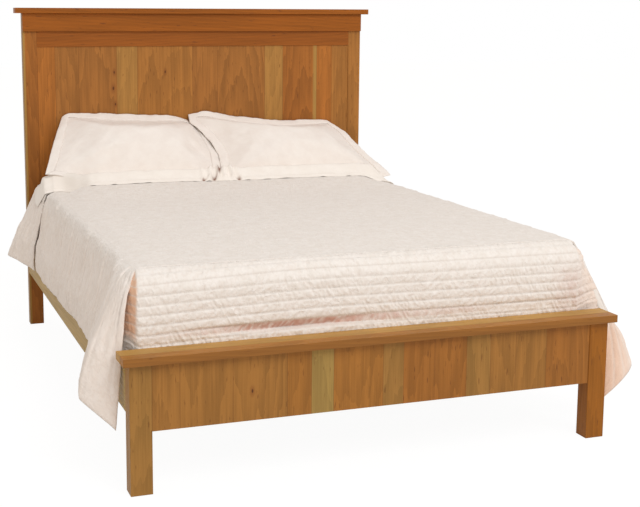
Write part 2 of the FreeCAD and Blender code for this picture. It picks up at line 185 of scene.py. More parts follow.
@dataclass(frozen=True)
class Relief:
    """A surface's roughness and fine bumps, both drawn from one pattern."""

    roughness: Pair
    strength: float
    depth: float
    limits: Pair = (0.3, 0.7)

    def draw(self, tree: NodeTree, shader: Node, pattern: NodeSocket) -> NodeSocket:
        """Draws the roughness and the bumps on a shader.

        Args:
            tree: the material's node tree.
            shader: its principled shader.
            pattern: the socket that gives the pattern.

        Returns:
            The socket of the bumped normal.
        """
        (low, high), (smooth_side, rough_side) = self.limits, self.roughness
        ranges = {"From Min": low, "From Max": high, "To Min": smooth_side, "To Max": rough_side}
        rough = add(tree, "ShaderNodeMapRange", {"interpolation_type": "SMOOTHSTEP"}, {"Value": pattern} | ranges)
        tree.links.new(rough.outputs["Result"], shader.inputs["Roughness"])
        inputs = {"Strength": self.strength, "Distance": self.depth, "Height": pattern}
        normal = add(tree, "ShaderNodeBump", inputs=inputs).outputs["Normal"]
        tree.links.new(normal, shader.inputs["Normal"])
        return normal


@dataclass(frozen=True)
class Streaks:
    """Streaks in wood: their width, the pattern's scale along the grain, and how finely it is broken up."""

    width: float
    drawn_out: float
    detail: float
    roughness: float = 0.6

    def lay(self, tree: NodeTree, grain: Grain, shift: Vector) -> NodeSocket:
        """Lays the streaks along a board.

        Args:
            tree: the material's node tree.
            grain: the axis that the streaks follow.
            shift: moves the pattern, so that boards differ.

        Returns:
            The socket of the pattern.
        """
        scale = Vector((1, 1, 1))
        scale[grain.value] = self.drawn_out
        place = add(tree, "ShaderNodeTexCoord").outputs["Object"]
        drawn = add(tree, "ShaderNodeMapping", inputs={"Vector": place, "Location": shift, "Scale": scale})
        inputs = {"Vector": drawn.outputs["Vector"], "Scale": 1 / self.width}
        inputs |= {"Detail": self.detail, "Roughness": self.roughness}
        return add(tree, "ShaderNodeTexNoise", inputs=inputs).outputs["Fac"]


@dataclass(frozen=True)
class Knot:
    """A small knot at shares of its board's width and length, with its radius in metres."""

    across: float
    along: float
    radius: float


@dataclass(frozen=True)
class Board:
    """A board whose material is being drawn: the node tree, its object coordinates, and the board's corners."""

    tree: NodeTree
    place: NodeSocket
    low: Vector
    high: Vector


@dataclass(frozen=True)
class OiledCherry:
    """Planed cherry rubbed with oil: a satin surface over fine fibres, arched rings, gum flecks and pale sapwood.

    The fibres are about 1 mm wide, and are drawn about 5 mm wide so that they show from across a room.
    """

    tone: Tone
    grain: Grain
    seed: int
    figure: float = 0.25
    pith: float = 0.35
    knots: tuple[Knot, ...] = ()
    sapwood: Edge | None = None
    sap_width: float = 18 * MM
    glued_across: Grain | None = None

    fibre = Streaks(5 * MM, 0.025, 3.0)
    streak = Streaks(34 * MM, 0.05, 2.0)
    fleck = Streaks(7 * MM, 0.16, 1.0)
    fleck_shift = Vector((9, 9, 9))
    fibre_share = 0.75
    light_weave, dark_weave = 0.66, 1.06
    ring_spacing, ring_drawn_out, ring_slant = 15 * MM, 0.12, math.radians(5)
    ring_wander = {"Distortion": 4.5, "Detail": 2.0, "Detail Scale": 2.2}
    seam_width, seam_share = 2.2 * MM, 0.35
    sap_share = 0.6
    knot_drawn_out = 0.45
    gum_colour, sap_colour, knot_halo, knot_heart = "#5F341A", "#B3924F", "#7A431F", "#4A2512"
    relief = Relief((0.42, 0.56), 0.3, 0.4 * MM)
    ior, specular = 1.47, 0.2

    def rings(self, board: Board, rng: np.random.Generator) -> NodeSocket:
        """Growth rings cut at a slant, which arch up the board where the pith is near.

        Args:
            board: the board that they are drawn on.
            rng: draws the pith's place and the slant.

        Returns:
            The socket of the pattern.
        """
        middle = (board.low + board.high) / 2
        beside, behind = (axis for axis in range(3) if axis != self.grain.value)
        shift, tilt, scale = Vector((0, 0, 0)), Vector((0, 0, 0)), Vector((1, 1, 1))
        shift[beside] = -middle[beside] + rng.uniform(-0.3, 0.3) * self.pith
        shift[behind] = -middle[behind] + self.pith
        tilt[beside] = rng.uniform(0.5, 1.0) * self.ring_slant * rng.choice((-1, 1))
        scale[self.grain.value] = self.ring_drawn_out
        inputs = {"Vector": board.place, "Location": shift, "Rotation": tilt}
        turned = add(board.tree, "ShaderNodeMapping", inputs=inputs).outputs["Vector"]
        drawn = add(board.tree, "ShaderNodeMapping", inputs={"Vector": turned, "Scale": scale}).outputs["Vector"]
        settings = {"wave_type": "RINGS", "rings_direction": self.grain.name, "wave_profile": "SAW"}
        inputs = {"Vector": drawn, "Scale": math.tau / 20 / self.ring_spacing} | self.ring_wander
        return add(board.tree, "ShaderNodeTexWave", settings, inputs).outputs["Fac"]

    def edges(self, board: Board, colour: NodeSocket) -> NodeSocket:
        """Darkens the joints along a glued board's two long edges and adds its strip of sapwood.

        Args:
            board: the board that they are drawn on.
            colour: the socket of the board's colour.

        Returns:
            The socket of the changed colour.
        """
        axis = self.glued_across
        if axis is None:
            return colour
        across = add(board.tree, "ShaderNodeSeparateXYZ", inputs={"Vector": board.place}).outputs[axis.name]
        first, last = board.low[axis.value], board.high[axis.value]
        if self.sapwood is not None:
            edge, way = (first, 1) if self.sapwood is Edge.LEFT else (last, -1)
            start, soft = edge + way * self.sap_width, way * self.sap_width / 3
            limits = start - soft, start + soft
            colour = tinted(board.tree, colour, self.sap_colour, across, limits, (self.sap_share, 0.0))
        for edge, way in ((first, 1), (last, -1)):
            limits = edge, edge + way * self.seam_width
            colour = tinted(board.tree, colour, self.gum_colour, across, limits, (self.seam_share, 0.0))
        return colour

    def knotted(self, board: Board, colour: NodeSocket, knot: Knot) -> NodeSocket:
        """Darkens a knot and the fibres that run round it.

        Args:
            board: the board that the knot is in.
            colour: the socket of the board's colour.
            knot: the knot.

        Returns:
            The socket of the changed colour.
        """
        grain, across = self.grain.value, 0 if self.grain is Grain.Z else 2
        size = board.high - board.low
        scale, centre = Vector((1, 0, 1)), Vector((0, 0, 0))
        scale[grain] = self.knot_drawn_out
        centre[across] = board.low[across] + knot.across * size[across]
        centre[grain] = (board.low[grain] + knot.along * size[grain]) * self.knot_drawn_out
        flat = add(board.tree, "ShaderNodeMapping", inputs={"Vector": board.place, "Scale": scale})
        inputs = {0: flat.outputs["Vector"], 1: centre}
        away = add(board.tree, "ShaderNodeVectorMath", {"operation": "DISTANCE"}, inputs).outputs["Value"]
        for tint, near, far, share in ((self.knot_halo, 1, 4, 0.45), (self.knot_heart, 0.5, 1.3, 0.85)):
            limits = knot.radius * near, knot.radius * far
            colour = tinted(board.tree, colour, tint, away, limits, (share, 0.0))
        return colour

    def make(self, name: str, low: Vector, high: Vector) -> Material:
        """Makes the material of one board.

        Args:
            name: the material's name.
            low: the board's lowest corner.
            high: the board's highest corner.

        Returns:
            The material.
        """
        material, tree, shader = new_material(name)
        board = Board(tree, add(tree, "ShaderNodeTexCoord").outputs["Object"], low, high)
        rng = np.random.default_rng(self.seed)
        shift = Vector(rng.uniform(-4, 4, 3))
        fibre, streak = (kind.lay(tree, self.grain, shift) for kind in (self.fibre, self.streak))
        weave = streak
        for pattern, share in ((self.rings(board, rng), self.figure), (fibre, self.fibre_share)):
            inputs = {0: pattern, 1: share, 2: weave}
            weave = add(tree, "ShaderNodeMath", {"operation": "MULTIPLY_ADD"}, inputs).outputs[0]
        light, dark = self.tone.value
        colour = tinted(tree, linear(light), dark, weave, (self.light_weave, self.dark_weave + self.figure))
        fleck = self.fleck.lay(tree, self.grain, shift + self.fleck_shift)
        colour = tinted(tree, colour, self.gum_colour, fleck, (0.68, 0.78), (0.0, 0.55))
        colour = self.edges(board, colour)
        for knot in self.knots:
            colour = self.knotted(board, colour, knot)
        tree.links.new(colour, shader.inputs["Base Color"])
        self.relief.draw(tree, shader, fibre)
        shader.inputs["IOR"].default_value = self.ior
        shader.inputs["Specular IOR Level"].default_value = self.specular
        return material


@dataclass(frozen=True)
class PlanedPoplar:
    """Planed poplar without finish: pale greenish wood, dry and matt, with faint streaks."""

    grain: Grain

    light, dark = "#D3BE93", "#B39F74"
    streak = Streaks(18 * MM, 0.05, 4.0, 0.5)
    relief = Relief((0.62, 0.75), 0.3, 0.5 * MM)

    def make(self, name: str) -> Material:
        """Makes the material.

        Args:
            name: the material's name.

        Returns:
            The material.
        """
        material, tree, shader = new_material(name)
        streak = self.streak.lay(tree, self.grain, Vector((0, 0, 0)))
        colour = tinted(tree, linear(self.light), self.dark, streak, self.relief.limits)
        tree.links.new(colour, shader.inputs["Base Color"])
        self.relief.draw(tree, shader, streak)
        return material


@dataclass(frozen=True)
class Mottled:
    """A hard material with a faint mottle in its colour and its gloss, as metal or moulded plastic has."""

    light: str
    dark: str
    roughness: float
    metallic: float
    grit: float

    gloss_spread = 0.06
    bump_strength, bump_depth = 0.15, 0.2 * MM

    def make(self, name: str) -> Material:
        """Makes the material.

        Args:
            name: the material's name.

        Returns:
            The material.
        """
        material, tree, shader = new_material(name)
        place = add(tree, "ShaderNodeTexCoord").outputs["Object"]
        inputs = {"Vector": place, "Scale": 1 / self.grit, "Detail": 3.0}
        mottle = add(tree, "ShaderNodeTexNoise", inputs=inputs).outputs["Fac"]
        gloss = self.roughness - self.gloss_spread, self.roughness + self.gloss_spread
        relief = Relief(gloss, self.bump_strength, self.bump_depth)
        colour = tinted(tree, linear(self.light), self.dark, mottle, relief.limits)
        tree.links.new(colour, shader.inputs["Base Color"])
        relief.draw(tree, shader, mottle)
        shader.inputs["Metallic"].default_value = self.metallic
        return material


# Black oxide on pressed steel: a dull blue-black skin.
BLACK_STEEL = Mottled("#2B2B2D", "#1D1D1F", 0.48, 0.9, 3 * MM)
# Zinc plate on cut steel: a pale grey metal with a soft shine.
ZINC_STEEL = Mottled("#B9B7AF", "#9B9A93", 0.34, 1.0, 4 * MM)
# Moulded nylon: a near-black plastic with a fine moulded grit.
BLACK_NYLON = Mottled("#232323", "#191919", 0.55, 0.0, 1.5 * MM)


@dataclass(frozen=True)
class WovenCotton:
    """Woven cotton: a matt cloth with a soft bloom at grazing angles and faint unevenness in its threads.

    Threads lie about 0.4 mm apart, too fine to show from across a room, so the weave is drawn at thread_spacing.
    """

    light: str
    dark: str
    thread_spacing: float = 2.4 * MM
    crumple: float = 45 * MM
    crumple_height: float = 0.8 * MM
    pucker: float = 0.0
    pucker_height: float = 0.0
    # The colour of painted shade in the hollows of the puckers.
    hollow: str = ""
    # Pairs of an attribute and the colour of painted shade that it mixes in.
    shades: tuple[tuple[str, str], ...] = ()
    sheen: float = 0.25

    roughness, roughness_limits = (0.78, 0.92), (0.2, 0.8)
    specular, sheen_roughness = 0.25, 0.5
    thread_height = 0.2 * MM

    def make(self, name: str) -> Material:
        """Makes the material.

        Args:
            name: the material's name.

        Returns:
            The material.
        """
        material, tree, shader = new_material(name)
        uv = add(tree, "ShaderNodeUVMap", {"uv_map": CLOTH_MAP}).outputs["UV"]
        inputs = {"Vector": uv, "Scale": 1 / self.crumple, "Detail": 4.0, "Roughness": 0.62}
        crumple = add(tree, "ShaderNodeTexNoise", inputs=inputs).outputs["Fac"]
        colour = tinted(tree, linear(self.light), self.dark, crumple, (0.25, 0.75))
        relief = Relief(self.roughness, 0.5, self.crumple_height, self.roughness_limits)
        normal = relief.draw(tree, shader, crumple)
        if self.pucker:
            inputs = {"Vector": uv, "Scale": 1 / self.pucker, "Detail": 2.0, "Distortion": 0.8}
            pucker = add(tree, "ShaderNodeTexNoise", inputs=inputs).outputs["Fac"]
            inputs = {"Strength": 0.9, "Distance": self.pucker_height, "Height": pucker, "Normal": normal}
            normal = add(tree, "ShaderNodeBump", inputs=inputs).outputs["Normal"]
            # Painted shade: the hollows of the puckers take the hollow colour.
            if self.hollow:
                colour = tinted(tree, colour, self.hollow, pucker, (0.60, 0.28), (0.0, 0.45))
        # Each attribute mixes in its colour of painted shade.
        for attribute, tint in self.shades:
            inside = add(tree, "ShaderNodeAttribute", {"attribute_name": attribute}).outputs["Fac"]
            inputs = {0: inside, 6: colour, 7: linear(tint)}
            colour = add(tree, "ShaderNodeMix", {"data_type": "RGBA"}, inputs).outputs[2]
        for direction in ("X", "Y"):
            settings = {"wave_type": "BANDS", "bands_direction": direction}
            inputs = {"Vector": uv, "Scale": math.tau / 20 / self.thread_spacing, "Distortion": 0.4}
            thread = add(tree, "ShaderNodeTexWave", settings, inputs).outputs["Fac"]
            inputs = {"Strength": 0.12, "Distance": self.thread_height, "Height": thread, "Normal": normal}
            normal = add(tree, "ShaderNodeBump", inputs=inputs).outputs["Normal"]
        tree.links.new(colour, shader.inputs["Base Color"])
        tree.links.new(normal, shader.inputs["Normal"])
        shader.inputs["Specular IOR Level"].default_value = self.specular
        shader.inputs["Sheen Weight"].default_value = self.sheen
        shader.inputs["Sheen Roughness"].default_value = self.sheen_roughness
        return material


# Quilted cotton sateen, cream, puckered by its stitching, with painted shade in a warmer colour in the hollows of
# its puckers.
# Painted shade gathers in peach where the cloth turns in on itself and lies in shade, marked by the attribute
# "fold", in rose where it is drawn in, marked by "blush", and in a dull tone along its sewn grooves, marked by
# "seam".
QUILTED_COTTON = WovenCotton(
    "#F5EFE9", "#EEE7DF", pucker=14 * MM, pucker_height=3.4 * MM, hollow="#E7DBD1", sheen=0.3,
    shades=(("fold", "#EDBE9C"), ("blush", "#D0A291"), ("seam", "#C4B3A4")),
)
# Plain cotton percale of the sheet, the whitest of the cloths, with painted shade in its tightest creases, marked
# by "crease".
SHEET_COTTON = WovenCotton("#FAF3EB", "#F5EDE4", crumple=70 * MM, shades=(("crease", "#7C4C32"),))
# Plain cotton of the pillow shams, a warm cream.
PILLOW_COTTON = WovenCotton("#F8F1EA", "#F2E9E1", crumple=80 * MM, crumple_height=1.2 * MM)
# Woven mattress ticking: a firm cream cloth, puckered where it is sewn through.
TICKING = WovenCotton("#E6DACB", "#D9CBBA", crumple=30 * MM, pucker=24 * MM, pucker_height=2 * MM)
# Plain woven cloth of the foundation, duller than the ticking.
FOUNDATION_CLOTH = WovenCotton("#D8C9B6", "#C9B9A5", crumple=30 * MM)
# Mercerised sewing thread, smooth and near the shade of its cloth: one for the coverlet, one for the rest.
THREAD = WovenCotton("#F2EAE1", "#E9DFD4", thread_spacing=1 * MM)
SHEET_THREAD = WovenCotton("#F0E6DA", "#E6DACC", thread_spacing=1 * MM)


def smooth(value: np.ndarray, low: float, high: float) -> np.ndarray:
    """A smooth step from 0 at low to 1 at high, whichever is larger."""
    share = np.clip((value - low) / (high - low), 0, 1)
    return share * share * (3 - 2 * share)


def bell(value: np.ndarray, middle: float | np.ndarray, width: float | np.ndarray) -> np.ndarray:
    """A bell curve that is 1 at its middle."""
    return np.exp(-((value - middle) / width) ** 2)


def through(places: Values | np.ndarray, values: Values, at: np.ndarray) -> np.ndarray:
    """A smooth curve through values at rising places, without overshoot.

    Args:
        places: rising places.
        values: the value at each place.
        at: where the curve is wanted.

    Returns:
        The curve's values.
    """
    x, y = np.array(places, float), np.array(values, float)
    steps, rises = np.diff(x), np.diff(y) / np.diff(x)
    slopes = np.zeros_like(y)
    same = rises[:-1] * rises[1:] > 0
    weights = 2 * steps[1:] + steps[:-1], steps[1:] + 2 * steps[:-1]
    safe = np.where(same, rises[:-1], 1), np.where(same, rises[1:], 1)
    slopes[1:-1] = np.where(same, sum(weights) / (weights[0] / safe[0] + weights[1] / safe[1]), 0)
    slopes[0], slopes[-1] = rises[0], rises[-1]
    place = np.clip(np.searchsorted(x, at) - 1, 0, len(x) - 2)
    share, step = np.clip((at - x[place]) / steps[place], 0, 1), steps[place]
    first = (1 + 2 * share) * (1 - share) ** 2 * y[place] + share * (1 - share) ** 2 * step * slopes[place]
    second = share ** 2 * (3 - 2 * share) * y[place + 1] + share ** 2 * (share - 1) * step * slopes[place + 1]
    return first + second


def spread(values: Values, share: np.ndarray) -> np.ndarray:
    """A smooth curve through values that stand at even steps from share 0 to share 1."""
    return through(np.linspace(0, 1, len(values)), values, share)


def walked(points: np.ndarray) -> np.ndarray:
    """The length of the way along a line of points, at each of them."""
    return np.concatenate([[0], np.cumsum(np.linalg.norm(np.diff(points, axis=0), axis=1))])


def grid_points(*places: np.ndarray | float) -> np.ndarray:
    """A grid of points from coordinates that spread over its rows and columns."""
    return np.stack(np.broadcast_arrays(*places), axis=-1)


def grid_normals(points: np.ndarray) -> np.ndarray:
    """Unit normals of a grid of points, along the cross product of its rows and columns."""
    normals = np.cross(np.gradient(points, axis=0), np.gradient(points, axis=1))
    return normals / np.maximum(np.linalg.norm(normals, axis=2, keepdims=True), 1e-12)


@dataclass(frozen=True)
class Noise:
    """Smooth noise over a cloth: its width and length there, its seed, where it starts, and its slant.

    Width and length are in the unit of the places that are asked for. The slant is a cosine and a sine.
    """

    width: float
    length: float
    seed: int
    start: Pair = (0.0, 0.0)
    slant: Pair = (1.0, 0.0)

    lattice_size = 256

    def at(self, across: np.ndarray, along: np.ndarray, seed: int = 0) -> np.ndarray:
        """The noise at places on the cloth.

        Args:
            across: places across the cloth.
            along: places along the cloth.
            seed: a number that is added to the noise's own seed.

        Returns:
            Values from -1 to 1, in the common shape of the places.
        """
        size = self.lattice_size
        lattice = np.random.default_rng(self.seed + seed).uniform(-1, 1, (size, size))
        cosine, sine = self.slant
        u = (cosine * across + sine * along) / self.width + self.start[0]
        v = (cosine * along - sine * across) / self.length + self.start[1]
        u_floor, v_floor = np.floor(u).astype(int), np.floor(v).astype(int)
        u_part, v_part = (part ** 3 * (part * (part * 6 - 15) + 10) for part in (u - u_floor, v - v_floor))
        near, far = (
            lattice[(u_floor + side) % size, v_floor % size] * (1 - v_part)
            + lattice[(u_floor + side) % size, (v_floor + 1) % size] * v_part
            for side in (0, 1)
        )
        return near * (1 - u_part) + far * u_part


def placed(name: str, data: bpy.types.ID) -> Object:
    """A new object of its data at the origin, linked to the scene."""
    piece = bpy.data.objects.new(name, data)
    bpy.context.scene.collection.objects.link(piece)
    return piece


def evaluated(piece: Object) -> Mesh:
    """A plain mesh of a piece with its modifiers applied."""
    return bpy.data.meshes.new_from_object(piece.evaluated_get(bpy.context.evaluated_depsgraph_get()))


def mesh_object(name: str, points: np.ndarray, faces: list, uv: np.ndarray) -> Object:
    """Makes a smooth mesh object whose points hold its place.

    Args:
        name: the piece's name.
        points: the points, one row each.
        faces: the faces' point numbers.
        uv: each point's place on the flat cloth, in metres.

    Returns:
        The object, linked to the scene.
    """
    mesh = bpy.data.meshes.new(name)
    mesh.from_pydata(points.tolist(), [], faces)
    layer = mesh.uv_layers.new(name=CLOTH_MAP)
    corners = np.zeros(len(mesh.loops), np.int32)
    mesh.loops.foreach_get("vertex_index", corners)
    layer.data.foreach_set("uv", uv[corners].astype(np.float32).ravel())
    mesh.shade_smooth()
    mesh.update()
    return placed(name, mesh)


def closed_cloth(
    name: str, points: np.ndarray, thickness: np.ndarray, uv: np.ndarray, kept: np.ndarray | None = None,
) -> Object:
    """Makes a closed cloth of a grid of points on its outer face.

    Args:
        name: the piece's name.
        points: rows and columns of points on the outer face.
        thickness: the cloth's thickness at each point.
        uv: each point's place on the flat cloth, in metres.
        kept: which faces of the grid are cloth, where some are cut away.

    Returns:
        The object, with rounded edges and its faces pointing outwards.
    """
    rim_share = 0.45
    rows, columns = points.shape[:2]
    size = rows * columns
    number = np.arange(size).reshape(rows, columns)
    kept = np.ones((rows - 1, columns - 1), bool) if kept is None else kept
    quads = np.stack([number[:-1, :-1], number[1:, :-1], number[1:, 1:], number[:-1, 1:]], axis=-1)[kept]
    edges = np.concatenate([quads[:, [i, (i + 1) % 4]] for i in range(4)])
    _, first, count = np.unique(np.sort(edges, axis=1), axis=0, return_index=True, return_counts=True)
    rim = edges[first[count == 1]]
    outer = points.reshape(-1, 3).copy()
    inner = outer - grid_normals(points).reshape(-1, 3) * thickness.reshape(-1, 1)
    at_rim = np.unique(rim)
    middle = (outer[at_rim] + inner[at_rim]) / 2
    for skin in (outer, inner):
        skin[at_rim] = middle + (skin[at_rim] - middle) * rim_share
    faces = quads.tolist() + (quads[:, ::-1] + size).tolist()
    faces += np.stack([rim[:, 1], rim[:, 0], rim[:, 0] + size, rim[:, 1] + size], axis=1).tolist()
    flat = uv.reshape(-1, 2)
    piece = mesh_object(name, np.concatenate([outer, inner]), faces, np.concatenate([flat, flat]))
    shell = bmesh.new()
    shell.from_mesh(piece.data)
    bmesh.ops.delete(shell, geom=[vert for vert in shell.verts if not vert.link_faces], context="VERTS")
    shell.to_mesh(piece.data)
    shell.free()
    return piece


def shade(piece: Object, attribute: str, share: np.ndarray) -> None:
    """Marks how far each point of a closed cloth takes one of its painted shades, from the shares on its grid."""
    values = np.tile(np.clip(share, 0, 1).astype(np.float32).ravel(), 2)
    piece.data.attributes.new(attribute, "FLOAT", "POINT").data.foreach_set("value", values)


def repaint(node: Object, material: Material) -> None:
    """Puts one material on a piece in place of its own."""
    node.data.materials.clear()
    node.data.materials.append(material)


def wear(piece: Object, material: Material, body: str) -> Object:
    """Gives a new piece its material and its body, and reports it.

    Args:
        piece: the piece.
        material: its material.
        body: the body that it moves with.

    Returns:
        The same piece.
    """
    repaint(piece, material)
    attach(piece, body)
    LOG.info("%s: %d faces on %s", piece.name, len(piece.data.polygons), body)
    return piece


@dataclass
class Stitching:
    """Machine stitches along sewn lines, made by one geometry node tree."""

    pitch: float = 7 * MM
    length: float = 4.6 * MM
    thickness: float = 1.1 * MM
    seed: int = 11
    tree: NodeTree = field(init=False)
    sockets: dict[str, str] = field(init=False)

    ball_segments, ball_rings, ball_radius = 6, 4, 0.5
    least_scale, most_scale = 0.85, 1.1

    def __post_init__(self) -> None:
        """Builds the tree that sets one thread stitch after another along every line."""
        self.tree = tree = bpy.data.node_groups.new("row_of_stitches", "GeometryNodeTree")
        sizes = dict.fromkeys(("Pitch", "Length", "Thickness"), "Float")
        kinds = {"Lines": "Geometry"} | sizes | {"Thread": "Material"}
        self.sockets = {}
        for name, kind in kinds.items():
            socket = tree.interface.new_socket(name, in_out="INPUT", socket_type=f"NodeSocket{kind}")
            self.sockets[name] = socket.identifier
        tree.interface.new_socket("Stitches", in_out="OUTPUT", socket_type="NodeSocketGeometry")
        given = add(tree, "NodeGroupInput").outputs
        curve = add(tree, "GeometryNodeMeshToCurve", inputs={"Mesh": given["Lines"]}).outputs["Curve"]
        inputs = {"Curve": curve, "Length": given["Pitch"]}
        points = add(tree, "GeometryNodeCurveToPoints", {"mode": "LENGTH"}, inputs).outputs
        inputs = {"Segments": self.ball_segments, "Rings": self.ball_rings, "Radius": self.ball_radius}
        ball = add(tree, "GeometryNodeMeshUVSphere", inputs=inputs).outputs["Mesh"]
        inputs = {"X": given["Thickness"], "Y": given["Thickness"], "Z": given["Length"]}
        size = add(tree, "ShaderNodeCombineXYZ", inputs=inputs).outputs["Vector"]
        stitch = add(tree, "GeometryNodeTransform", inputs={"Geometry": ball, "Scale": size}).outputs["Geometry"]
        inputs = {2: self.least_scale, 3: self.most_scale, "Seed": self.seed}
        scale = add(tree, "FunctionNodeRandomValue", {"data_type": "FLOAT"}, inputs).outputs[1]
        inputs = {"Points": points["Points"], "Instance": stitch, "Rotation": points["Rotation"], "Scale": scale}
        rows = add(tree, "GeometryNodeInstanceOnPoints", inputs=inputs).outputs["Instances"]
        real = add(tree, "GeometryNodeRealizeInstances", inputs={"Geometry": rows}).outputs["Geometry"]
        inputs = {"Geometry": real, "Material": given["Thread"]}
        dressed = add(tree, "GeometryNodeSetMaterial", inputs=inputs).outputs["Geometry"]
        add(tree, "NodeGroupOutput", inputs={"Stitches": dressed})

    def sew(self, name: str, lines: list[np.ndarray], thread: Material) -> Object:
        """Sews rows of stitches.

        Args:
            name: the piece's name.
            lines: the points of each sewn line.
            thread: the thread's material.

        Returns:
            A plain mesh of all the stitches.
        """
        points = np.concatenate(lines)
        starts = np.cumsum([0] + [len(line) for line in lines])
        joins = [(i, i + 1) for low, high in zip(starts, starts[1:]) for i in range(low, high - 1)]
        path = bpy.data.meshes.new(name + "_line")
        path.from_pydata(points.tolist(), joins, [])
        guide = placed(name + "_line", path)
        rows = guide.modifiers.new("stitches", "NODES")
        rows.node_group = self.tree
        sizes = {"Pitch": self.pitch, "Length": self.length, "Thickness": self.thickness, "Thread": thread}
        for key, value in sizes.items():
            rows[self.sockets[key]] = value
        mesh = evaluated(guide)
        bpy.data.objects.remove(guide)
        mesh.name = name
        mesh.shade_smooth()
        if CLOTH_MAP not in mesh.uv_layers:
            mesh.uv_layers.new(name=CLOTH_MAP)
        return placed(name, mesh)


@dataclass
class Woodwork:
    """The cherry frame: headboard, footboard and side rails.

    A figured board is cut near the pith, which lies behind it by the length that stands beside its name.
    """

    nodes: dict[str, Object]
    finishes: dict[str, OiledCherry] = field(default_factory=dict)

    board_tones = {
        "headboard": (
            Tone.AMBER, Tone.BROWN, Tone.BROWN, Tone.OLIVE, Tone.TAN, Tone.TAN,
            Tone.BROWN, Tone.BROWN, Tone.OLIVE, Tone.RUSSET, Tone.AMBER, Tone.TAN,
        ),
        "footboard": (
            Tone.WHEAT, Tone.WHEAT, Tone.WHEAT, Tone.HONEY, Tone.PALE, Tone.HONEY, Tone.MOSS,
            Tone.HAZEL, Tone.HAZEL, Tone.MOSS, Tone.WHEAT, Tone.WHEAT, Tone.HAZEL,
        ),
    }
    first_seeds = {"headboard": 1, "footboard": 41, "frame": 100}
    figured_pith = {
        "headboard_board_03": 0.22, "headboard_board_05": 0.12, "headboard_board_08": 0.10,
        "headboard_board_10": 0.16, "footboard_board_03": 0.14, "footboard_board_09": 0.20,
        "footboard_board_13": 0.10,
    }
    plain_pith = 0.4
    figured, plain = 0.45, 0.25
    knots = {
        "headboard_board_03": (Knot(0.90, 0.78, 4 * MM), Knot(0.95, 0.70, 3 * MM), Knot(0.93, 0.86, 3 * MM)),
        "headboard_board_06": (Knot(0.16, 0.86, 3 * MM),),
        "footboard_board_03": (Knot(0.35, 0.45, 3 * MM),),
    }
    # The left post's pale strip, which also covers its left face, is partly sapwood and partly painted light on
    # that side.
    sapwood = {"headboard_board_10": Edge.RIGHT, "headboard_post_left": Edge.LEFT}
    frame_sap_width = 9 * MM
    frame_pieces = {
        "headboard_post_left": (Tone.RUSSET, Grain.Z),
        "headboard_post_right": (Tone.TAN, Grain.Z),
        "headboard_upper_rail": (Tone.RED, Grain.X),
        "headboard_lower_rail": (Tone.BROWN, Grain.X),
        "headboard_fascia": (Tone.CAP, Grain.X),
        "headboard_cap": (Tone.CAP, Grain.X),
        "footboard_leg_left": (Tone.MOSS, Grain.Z),
        "footboard_leg_right": (Tone.CHESTNUT, Grain.Z),
        "footboard_batten": (Tone.BROWN, Grain.X),
        "footboard_cap_front": (Tone.GINGER, Grain.X),
        "footboard_cap_rear": (Tone.SAND, Grain.X),
        "side_rail_left": (Tone.STRAW, Grain.Y),
        "side_rail_right": (Tone.PALE, Grain.Y),
    }
    frame_glued = {"footboard_cap_front": Grain.Y, "footboard_cap_rear": Grain.Y, "headboard_post_left": Grain.X}

    def choose(self) -> None:
        """Picks a finish for every cherry piece."""
        for end, tones in self.board_tones.items():
            for number, tone in enumerate(tones):
                name = f"{end}_board_{number + 1:02d}"
                self.finishes[name] = OiledCherry(
                    tone, Grain.Z, seed=self.first_seeds[end] + number,
                    figure=self.figured if name in self.figured_pith else self.plain,
                    pith=self.figured_pith.get(name, self.plain_pith), knots=self.knots.get(name, ()),
                    sapwood=self.sapwood.get(name), glued_across=Grain.X,
                )
        for number, (name, (tone, grain)) in enumerate(self.frame_pieces.items()):
            self.finishes[name] = OiledCherry(
                tone, grain, seed=self.first_seeds["frame"] + number, sapwood=self.sapwood.get(name),
                sap_width=self.frame_sap_width, glued_across=self.frame_glued.get(name),
            )

    def dress(self) -> None:
        """Gives each cherry piece a material of its own."""
        self.choose()
        for name, finish in self.finishes.items():
            repaint(self.nodes[name], finish.make(f"oiled_cherry_{name}", *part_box(name)))
            LOG.info("%s: %s cherry", name, finish.tone.name.lower())


@dataclass
class Hardware:
    """The slatted deck and the steel and nylon fittings of the frame."""

    nodes: dict[str, Object]

    deck = {
        "slats": Grain.X, "slat_ledger_left": Grain.Y, "slat_ledger_right": Grain.Y,
        "centre_beam": Grain.Y, "centre_legs": Grain.Z,
    }
    fittings = (
        (BLACK_STEEL, "black_oxide_steel", ("rail_hook_plates", "post_slot_plates")),
        (ZINC_STEEL, "zinc_plated_steel", ("plate_screws", "ledger_screws", "slat_screws")),
        (BLACK_NYLON, "moulded_black_nylon", ("levelling_foot_front", "levelling_foot_rear")),
    )

    def dress(self) -> None:
        """Gives the deck and the fittings their materials."""
        poplar = {grain: PlanedPoplar(grain).make(f"planed_poplar_{grain.name.lower()}") for grain in Grain}
        dressed = {name: poplar[grain] for name, grain in self.deck.items()}
        for finish, material_name, names in self.fittings:
            dressed |= dict.fromkeys(names, finish.make(material_name))
        for name, material in dressed.items():
            repaint(self.nodes[name], material)
            LOG.info("%s: %s", name, material.name)


